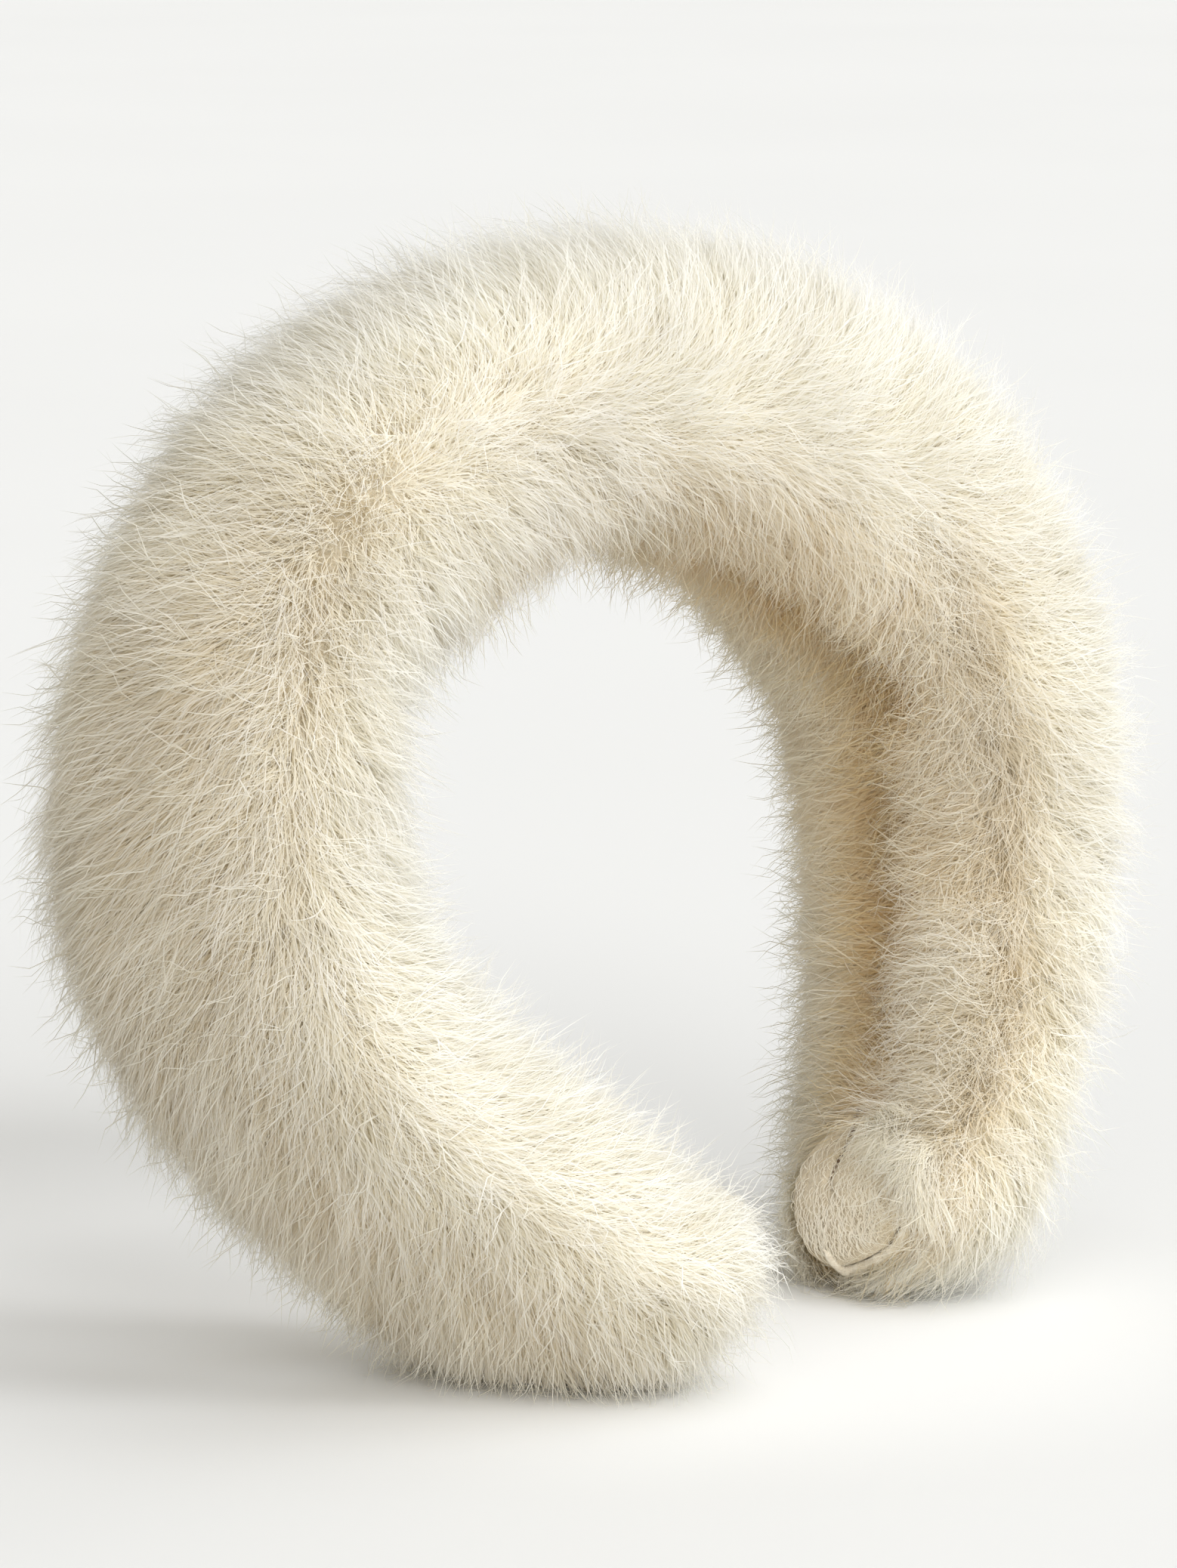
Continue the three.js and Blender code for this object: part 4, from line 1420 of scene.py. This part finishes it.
@dataclass
class TabFringe:
    """The long hair round a tab: a curl over its corner, spikes at its margins and a fringe under it."""

    coat: Coat
    side: Side
    width: float = 0.15
    steps: int = 5
    tuft: int = 9
    tip: Colour = (1.0, 0.97, 0.885)
    # count, start, end, deep, heading, curl, length, lift
    runs: tuple[Overhang, ...] = (
        Overhang(700, (28.0, -9.5), (22.0, -21.0), 2.2, -12.0, 62.0, 9.5, 4.4),
        Overhang(220, (30.0, -13.5), (29.5, -7.5), 1.4, -75.0, 60.0, 6.5, 3.4),
        Overhang(640, (22.0, -18.5), (12.5, -17.5), 2.0, 14.0, 16.0, 8.5, 3.8),
        Overhang(420, (27.0, 15.5), (8.0, 15.5), 1.0, -40.0, 20.0, 4.2, 1.2),
        Overhang(420, (1.8, -12.0), (1.4, 11.0), 1.0, 0.0, 6.0, 5.4, 1.6),
    )

    def grow(self, run: Overhang, rng: np.random.Generator) -> dict[str, Array]:
        """Points, normals and tints of one run's strands."""
        form = self.coat.form
        tufts = max(1, run.count // self.tuft)
        pick = rng.integers(0, tufts, run.count)
        along = rng.uniform(0, 1, tufts)
        line = zip(run.start, run.end)
        cd, cb = ((s + (e - s) * along + rng.normal(0, run.deep / 2, tufts))[pick] for s, e in line)
        d0, b0 = cd + rng.normal(0, 0.8, run.count), cb + rng.normal(0, 0.8, run.count)
        turn = run.heading + rng.normal(0, 17, tufts)[pick] + rng.normal(0, 9, run.count)
        curl = run.curl * rng.uniform(0.5, 1.5, tufts)[pick]
        long = run.length * rng.uniform(0.7, 1.15, tufts)[pick] * rng.uniform(0.75, 1.15, run.count)
        lift = run.lift * rng.uniform(0.6, 1.2, tufts)[pick] + rng.normal(0, 0.35, run.count)
        t = np.linspace(0, 1, self.steps)[None, :]
        angle = np.radians(turn[:, None] + curl[:, None] * t)
        step = (long / (self.steps - 1))[:, None] * (t > 0)
        draw = 0.6 * t**1.4
        d = d0[:, None] - np.cumsum(np.cos(angle) * step, axis=1) - (d0 - cd)[:, None] * draw
        b = b0[:, None] + np.cumsum(np.sin(angle) * step, axis=1) - (b0 - cb)[:, None] * draw
        h = -2.4 + (lift + 2.4)[:, None] * (1 - (1 - t) ** 2.4) - 0.45 * lift[:, None] * t**3
        m = d if self.side is Side.LEFT else form.reach - d
        points, out = form.place(m, b / form.girth_at(m), h)
        points[..., 2] = np.maximum(points[..., 2], 0.12 + 0.4 * rng.uniform(0, 1, (run.count, 1)) * t)
        # every strand of the fringe carries a little painted warm shade
        luck, warm = rng.uniform(0, 1, tufts)[pick], np.full(run.count, 0.25)
        return {"points": points, "out": out, "tint": self.coat.tints(0.5, self.tip, t, luck, warm, rng)}

    def build(self) -> bpy.types.Object:
        """Grows every run and joins them as one piece."""
        rng = np.random.default_rng(61 if self.side is Side.LEFT else 62)
        grown = [self.grow(run, rng) for run in self.runs]
        part = {key: np.concatenate([g[key] for g in grown]) for key in grown[0]}
        piece = self.coat.ribbons(f"tab_fringe_{self.side.value}", self.width, part, 63)
        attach(piece, "root")
        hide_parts("fur_cover")
        return piece


@dataclass
class FurCover:
    """The padded, fur covered band: its woolly backing and the coat grown on it."""

    form: BandForm
    tab: TabSize
    fur: FurFinish = FurFinish()
    backing: BackingFinish = BackingFinish()
    depth: float = 5.0
    rows: int = 220
    columns: int = 64
    piles: tuple[Pile, ...] = (
        Pile(name="fur_wool", count=84000, length=10.4, width=0.24, base=5.0, low=-2.2, high=1.0, clump=3.0,
             gather=0.12, lock=0.3, thin=0.0, stray=13.0, curl=0.3, rise=1.45, cut=Cut.HALVES, root=1.0,
             tip=(0.995, 0.98, 0.93), stretches=4, seed=11),
        Pile(name="fur_down", count=150000, length=9.6, width=0.125, base=2.6, low=-0.2, high=3.0, clump=6.0,
             gather=0.5, lock=1.0, thin=0.4, stray=13.0, curl=0.0, rise=1.0, cut=Cut.WHOLE, root=0.7,
             tip=(1.0, 0.995, 0.965), stretches=4, seed=17),
        Pile(name="fur_guard", count=45000, length=15.5, width=0.13, base=4.0, low=0.8, high=4.8, clump=6.0,
             gather=0.6, lock=1.0, thin=0.0, stray=11.0, curl=0.9, rise=1.9, cut=Cut.THIRDS, root=0.5,
             tip=(1.0, 1.0, 0.985), stretches=2, seed=17),
        Pile(name="fur_wisps", count=12500, length=6.0, width=0.17, base=1.0, low=4.0, high=9.5, clump=6.0,
             gather=0.0, lock=0.5, thin=0.0, stray=30.0, curl=0.9, rise=1.0, cut=Cut.THIRDS, root=0.2,
             tip=(0.97, 0.96, 0.90), stretches=1, seed=51),
    )

    def build_backing(self, lay: Lay, painted_shade: PaintedShade) -> bpy.types.Object:
        """The closed backing under the coat, sunk at the seam and at the tabs."""
        form = self.form
        k = np.arange(1, self.rows + 1) / (self.rows + 1)
        m, w = np.meshgrid(k * form.reach, np.arange(self.columns) / self.columns, indexing="ij")
        at = lay.spot(m, w)
        lumps = 0.7 * lay.noise(m, at.across, 6.0, 7) + 0.5 * lay.noise(m, at.across, 14.0, 8)
        groove = 1.6 * hump(at.across, at.seam, 2.6) * Ease(24.0, 10.0)(form.from_end(m))
        h = -self.depth + lumps * Ease(0.0, 8.0)(at.near) - groove
        seat = 1 - Ease(0.95, 0.35)(self.tab.reach(at.near, at.across, 3.0))
        seat = np.where(np.abs(at.across) < at.girth / 4, seat, 0.0)
        h = h * (1 - seat) - (self.tab.recess + 0.3) * seat
        points, _ = form.place(m, w, h)
        tip_h = np.array([-self.depth * 0.6])
        ends = [form.place(np.array([e]), np.array([0.0]), tip_h)[0] for e in (0.0, form.reach)]
        flat = np.concatenate([points.reshape(-1, 3), *ends])
        flat[:, 2] = np.maximum(flat[:, 2], 0.05)
        faces = [grid_faces(self.rows, self.columns, True), end_fans(self.rows, self.columns)]
        ob = mesh_object("fur_backing", flat, faces, self.backing.make())
        # the backing's tint is the painted shade of the coat, cubed so that it lies deeper
        set_tint(ob, self.backing.tint, np.concatenate([painted_shade.shade(at).reshape(-1, 3) ** 3, np.ones((2, 3))]))
        return ob

    def build(self) -> list[bpy.types.Object]:
        """Builds the backing, every stretch of the coat and the fringes, hides the CAD fur cover and hangs
        the pieces under the root.
        """
        lay = Lay(self.form)
        painted_shade = PaintedShade(lay)
        backing = self.build_backing(lay, painted_shade)
        coat = Coat(self.form, lay, painted_shade, self.tab, self.fur.make())
        made = [backing]
        for pile in self.piles:
            made += coat.pieces(pile)
        for piece in made:
            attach(piece, "root")
            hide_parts("fur_cover")
        made += [TabFringe(coat, side).build() for side in Side]
        return made


# ---------------------------------------------------------------- cloth tabs


@dataclass
class EndTab:
    """The cloth tab at one end: a domed patch, its stitches, its rolled edging and the nap of the cloth.

    Attributes:
        thickness, lift, crown: of the cloth, its rise off its seat and the dome of its middle, in mm.
        sewn: marks that the line of stitches runs through.
    """

    form: BandForm
    side: Side
    size: TabSize
    cloth: ClothFinish = ClothFinish()
    edging: ClothFinish = ClothFinish("rolled_cloth", (0.62, 0.53, 0.39), (0.90, 0.83, 0.69), 0.35)
    thread: ClothFinish = ClothFinish("stitch_thread", (0.10, 0.06, 0.03), (0.24, 0.15, 0.08), 0.3)
    nap: ClothFinish = ClothFinish("cloth_nap", (0.88, 0.79, 0.62), (0.99, 0.93, 0.79), 0.2)
    thickness: float = 1.5
    lift: float = 0.45
    crown: float = 0.55
    # from the tip, across
    sewn: tuple[tuple[float, float], ...] = ((33.0, -3.8), (28.0, -2.7), (23.5, -0.9), (19.8, 1.6))

    def on_face(self, d: Array, b: Array, h: Array) -> tuple[Array, Array]:
        """Points on the inner face at d from the tip and b across, h above the tab's seat, and normals."""
        m = d if self.side is Side.LEFT else self.form.reach - d
        w = b / self.form.girth_at(m)
        return self.form.place(m, w, h - self.size.recess + self.lift)

    def outline(self, turn: Array, grow: Array | float = 0.0,
                share: Array | float = 1.0) -> tuple[Array, Array]:
        """The outline's (d, b) at a turn from the side away from the tip, grown in mm or shrunk by share."""
        c, s = ease_power(turn, self.size.power)
        d = self.size.centre + share * (self.size.length / 2 + grow) * c
        return d, share * (self.size.width / 2 + grow) * s

    def sewn_line(self, t: Array) -> tuple[Array, Array]:
        """The line of stitches at a share t of its way down: a smooth curve through its marks."""
        marks = np.array(self.sewn)
        k = np.linspace(0, 1, len(marks))
        fit = np.polyfit(k, marks, len(marks) - 1)
        return np.polyval(fit[:, 0], t), np.polyval(fit[:, 1], t)

    def level(self, d: Array, b: Array) -> Array:
        """Height of the cloth's face over its seat, drawn down along the stitches."""
        share = self.size.reach(d, b)
        top = self.thickness + self.crown * (1 - np.clip(share, 0, 1) ** 2)
        t = np.linspace(0, 1, 60)
        sd, sb = self.sewn_line(t)
        near = np.min(np.hypot(d[..., None] - sd, b[..., None] - sb), axis=-1)
        hem = 0.22 * smooth((b - np.interp(d, sd[::-1], sb[::-1])) / 1.2) * Ease(14.0, 4.0)(d)
        return top - 0.45 * hump(near, 0.0, 0.9) + hem

    def build_cloth(self) -> bpy.types.Object:
        """The patch: softly domed, its edge turned under, with a channel where the stitches pull it down."""
        around, rings = 132, 26
        edge = [0.93, 0.955, 0.975, 0.99, 1.0, 1.0, 0.985]
        shares = np.concatenate([np.linspace(0, 0.9, rings + 1)[1:], edge])
        s, t = np.meshgrid(shares, np.arange(around) / around * 2 * math.pi, indexing="ij")
        d, b = self.outline(t, 0.0, s)
        h = self.level(d, b)
        for ring, drop in ((-5, 0.05), (-4, 0.16), (-3, 0.42)):
            h[ring] -= drop
        h[-2], h[-1] = 0.35, 0.05
        rng = np.random.default_rng(5)
        h = h + 0.04 * rng.normal(size=h.shape) * (s < 0.98)
        points, _ = self.on_face(d, b, h)
        centre = np.array([self.size.centre]), np.array([0.0])
        middle, _ = self.on_face(*centre, self.level(*centre))
        under, _ = self.on_face(*centre, np.array([0.05]))
        flat = np.concatenate([points.reshape(-1, 3), middle, under])
        faces = [grid_faces(len(shares), around, True), end_fans(len(shares), around)]
        if self.side is Side.LEFT:
            faces = [f[:, ::-1] for f in faces]
        return mesh_object(f"tab_cloth_{self.side.value}", flat, faces, self.cloth.make())

    def tube(self, path: Array, up: Array, radius: Array, sides: int) -> tuple[Array, Array, Array]:
        """Points, quads and end fans of a round cord along a path."""
        run = unit(np.gradient(path, axis=0))
        across = unit(np.cross(run, up))
        up = np.cross(across, run)
        a = np.arange(sides) / sides * 2 * math.pi
        ring = across[:, None] * np.cos(a)[None, :, None] + up[:, None] * np.sin(a)[None, :, None]
        points = path[:, None] + ring * radius[:, None, None]
        flat = np.concatenate([points.reshape(-1, 3), path[:1], path[-1:]])
        return flat, grid_faces(len(path), sides, True), end_fans(len(path), sides)

    def build_edging(self) -> bpy.types.Object:
        """The edging round the tip side, twisted like a rolled strip, its end curled in on the cloth."""
        steps = 170
        turn = np.radians(np.linspace(-72, -222, steps))
        curl = Ease(200.0, 22.0)(-np.degrees(turn))
        d, b = self.outline(turn, 1.4 - 4.6 * curl)
        wobble = 0.1 * np.sin(np.linspace(0, 31, steps))
        path, up = self.on_face(d, b, np.full(steps, 0.8) + wobble + 1.5 * curl)
        ends = smooth(np.minimum(np.arange(steps), np.arange(steps)[::-1]) / 9.0)
        twist = 0.92 + 0.09 * np.sin(np.linspace(0, 75, steps))
        radius = twist * (0.35 + 0.65 * ends) * (1 - 0.35 * curl)
        flat, quads, fans = self.tube(path, up, radius, 16)
        flat[:, 2] = np.maximum(flat[:, 2], 0.08)
        return mesh_object(f"tab_roll_{self.side.value}", flat, [quads, fans], self.edging.make())

    def build_stitches(self) -> bpy.types.Object:
        """Short sunk stitches along the sewn line, tighter and finer towards its lower end."""
        count, steps = 12, 8
        points, quads, fans, base = [], [], [], 0
        for i in range(count):
            mid = (i + 0.5) / count
            t = np.linspace(mid - 0.3 / count, mid + 0.3 / count, steps)
            d, b = self.sewn_line(t)
            arch = np.sin(np.linspace(0, math.pi, steps))
            h = self.level(d, b) + 0.04 + 0.16 * arch + 0.9 * (1 - smooth(mid / 0.5))
            path, up = self.on_face(d, b, h)
            size = 0.62 - 0.44 * mid
            flat, q, f = self.tube(path, up, size * (0.45 + 0.55 * arch), 8)
            points.append(flat)
            quads.append(q + base)
            fans.append(f + base)
            base += len(flat)
        faces = [np.concatenate(quads), np.concatenate(fans)]
        flat = np.concatenate(points)
        return mesh_object(f"tab_stitches_{self.side.value}", flat, faces, self.thread.make())

    def build_nap(self) -> bpy.types.Object:
        """Short curved fibres brushed up from the cloth, lying round in arcs."""
        rng = np.random.default_rng(31 if self.side is Side.LEFT else 32)
        n, k = 1000, 5
        turn, share = rng.uniform(0, 2 * math.pi, n), np.sqrt(rng.uniform(0, 0.86, n))
        d0, b0 = self.outline(turn, 0.0, share)
        keep = rng.uniform(0, 1, n) < 0.25 + 0.75 * Ease(21.0, -7.0)(d0)
        d0, b0 = d0[keep], b0[keep]
        n = len(d0)
        t = np.linspace(0, 1, k)[None, :]
        long = rng.uniform(2.0, 4.6, n)[:, None]
        start = np.radians(rng.normal(48, 8, n))[:, None]
        bend = np.radians(rng.normal(66, 12, n))[:, None]
        angle = start - bend * t
        step = long / (k - 1)
        d = d0[:, None] - np.cumsum(np.cos(angle) * step, axis=1)
        b = b0[:, None] + np.cumsum(np.sin(angle) * step, axis=1)
        inside = self.size.reach(d, b) < 0.97
        h = self.level(d, b) + 0.02 + rng.uniform(0.15, 0.6, n)[:, None] * np.sin(math.pi * t**0.8)
        path, out = self.on_face(d, b, h)
        path, out = path[inside.all(axis=1)], out[inside.all(axis=1)]
        run = unit(np.gradient(path, axis=1))
        across = unit(np.cross(run, out)) * (0.11 * (1 - 0.8 * t**2))[..., None]
        pairs = np.stack([path - across, path + across], 2)
        n = len(path)
        first = (np.arange(n) * 2 * k)[:, None]
        steps = [np.array([2 * s, 2 * s + 1, 2 * s + 3, 2 * s + 2]) for s in range(k - 1)]
        quads = np.concatenate([first + step for step in steps])
        return mesh_object(f"tab_nap_{self.side.value}", pairs.reshape(-1, 3), [quads], self.nap.make())

    def build(self) -> list[bpy.types.Object]:
        """Builds the tab's pieces, hides the CAD nodes that they replace and hangs the pieces under the
        root.
        """
        cloth, edging = self.build_cloth(), self.build_edging()
        stitches, nap = self.build_stitches(), self.build_nap()
        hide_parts(f"end_tab_{self.side.value}")
        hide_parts(f"tab_edging_{self.side.value}")
        for piece, name in ((cloth, "cloth"), (edging, "edging"), (stitches, "edging"), (nap, "cloth")):
            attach(piece, "root")
        return [cloth, edging, stitches, nap]


# ---------------------------------------------------------------- studio


@dataclass(frozen=True)
class Lamp:
    """A far soft light: where it stands round the object, how high, how wide it looks and its strength."""

    name: str
    azimuth: float
    height: float
    spread: float
    strength: float
    colour: Colour = (0.943, 0.96, 1.0)


@dataclass
class Studio:
    """Pale floor, soft lights and the camera.

    Attributes:
        sky, bounce: strength and colour of the light that comes from all round.
        azimuth, elevation, distance: where the camera stands round the object, in degrees and metres.
        focal_px: its focal length in points of the full frame, frame_px points high.
        aim_right, aim_up: metres that it aims past the object's middle.
        floor_half, floor_z: half the floor's side and its height, in mm.
    """

    floor: FloorFinish = FloorFinish()
    # azimuth, height, spread, strength
    lamps: tuple[Lamp, ...] = (
        Lamp("key", 10.0, 36.0, 18.0, 1.19),
        Lamp("front", 334.0, 28.0, 26.0, 1.17),
        Lamp("top", 20.0, 72.0, 44.0, 0.66),
        Lamp("side", 100.0, 30.0, 50.0, 0.58),
        Lamp("low_side", 50.0, 14.0, 50.0, 0.74),
        Lamp("low_front", 308.0, 12.0, 50.0, 1.0),
        Lamp("low_middle", 350.0, 8.0, 50.0, 0.85),
    )
    sky: float = 0.51
    bounce: Colour = (1.0, 0.97, 0.90)
    azimuth: float = 313.78
    elevation: float = 8.89
    distance: float = 1.1483
    focal_px: float = 9895.0
    aim_right: float = -0.01083
    aim_up: float = 0.00051
    frame_px: float = 2076.0
    film: float = 36.0
    floor_half: float = 14000.0
    floor_z: float = -0.15

    def around(self, azimuth: float, elevation: float) -> Vector:
        """Unit vector from the object to a place round it; azimuth 0 is the front, 90 the +X side."""
        a, e = math.radians(azimuth), math.radians(elevation)
        return Vector((math.sin(a) * math.cos(e), -math.cos(a) * math.cos(e), math.sin(e)))

    def build_floor(self) -> bpy.types.Object:
        """A wide flat floor under the object."""
        side = np.linspace(-self.floor_half, self.floor_half, 9)
        x, y = np.meshgrid(side, side, indexing="ij")
        points = np.stack([x, y, np.full_like(x, self.floor_z)], -1).reshape(-1, 3)
        ob = mesh_object("floor", points, [grid_faces(9, 9, False)[:, ::-1]], self.floor.make())
        return ob

    def build_lights(self, middle: Vector) -> None:
        """Hangs the lamps and lights the surroundings evenly."""
        for lamp in self.lamps:
            data = bpy.data.lights.new(lamp.name, "SUN")
            data.angle, data.energy, data.color = math.radians(lamp.spread), lamp.strength, lamp.colour
            ob = bpy.data.objects.new(lamp.name, data)
            bpy.context.scene.collection.objects.link(ob)
            towards = self.around(lamp.azimuth, lamp.height)
            ob.location = middle + towards * 2.0
            ob.rotation_mode = "QUATERNION"
            ob.rotation_quaternion = towards.to_track_quat("Z", "Y")
        world = bpy.data.worlds.new("surroundings")
        world.use_nodes = True
        sky = world.node_tree.nodes["Background"]
        sky.inputs["Color"].default_value = (*self.bounce, 1.0)
        sky.inputs["Strength"].default_value = self.sky
        bpy.context.scene.world = world
        bpy.context.scene.view_settings.view_transform = "Standard"

    def build_camera(self, low: Vector, high: Vector) -> bpy.types.Object:
        """Places the camera to the left of the front, a little above the object."""
        middle = (low + high) / 2
        back = self.around(self.azimuth, self.elevation)
        a = math.radians(self.azimuth)
        right = Vector((math.cos(a), math.sin(a), 0.0))
        up = back.cross(right)
        data = bpy.data.cameras.new("camera")
        data.sensor_fit, data.sensor_width, data.sensor_height = "AUTO", self.film, self.film
        data.lens = self.film * self.focal_px / self.frame_px
        data.clip_start, data.clip_end = 0.01, 60.0
        ob = bpy.data.objects.new("camera", data)
        bpy.context.scene.collection.objects.link(ob)
        ob.location = middle + back * self.distance
        aim = middle + right * self.aim_right + up * self.aim_up
        ob.rotation_mode = "QUATERNION"
        ob.rotation_quaternion = (ob.location - aim).to_track_quat("Z", "Y")
        bpy.context.scene.camera = ob
        return ob

    def build(self) -> None:
        """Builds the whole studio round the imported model."""
        low, high = (Vector(v) for v in CAD_BOX)
        self.build_floor()
        self.build_lights((low + high) / 2)
        self.build_camera(low, high)


def main() -> None:
    """Builds the studio, the fur cover and the two tabs, and reports each piece."""
    logging.basicConfig(level=logging.INFO, format="%(name)s: %(message)s")
    Studio().build()
    form, tab = BandForm(), TabSize()
    made = FurCover(form, tab).build()
    for side in Side:
        made += EndTab(form, side, tab).build()
    for piece in made:
        LOG.info("%s: %d faces", piece.name, len(piece.data.polygons))


if __name__ == "__main__":
    main()
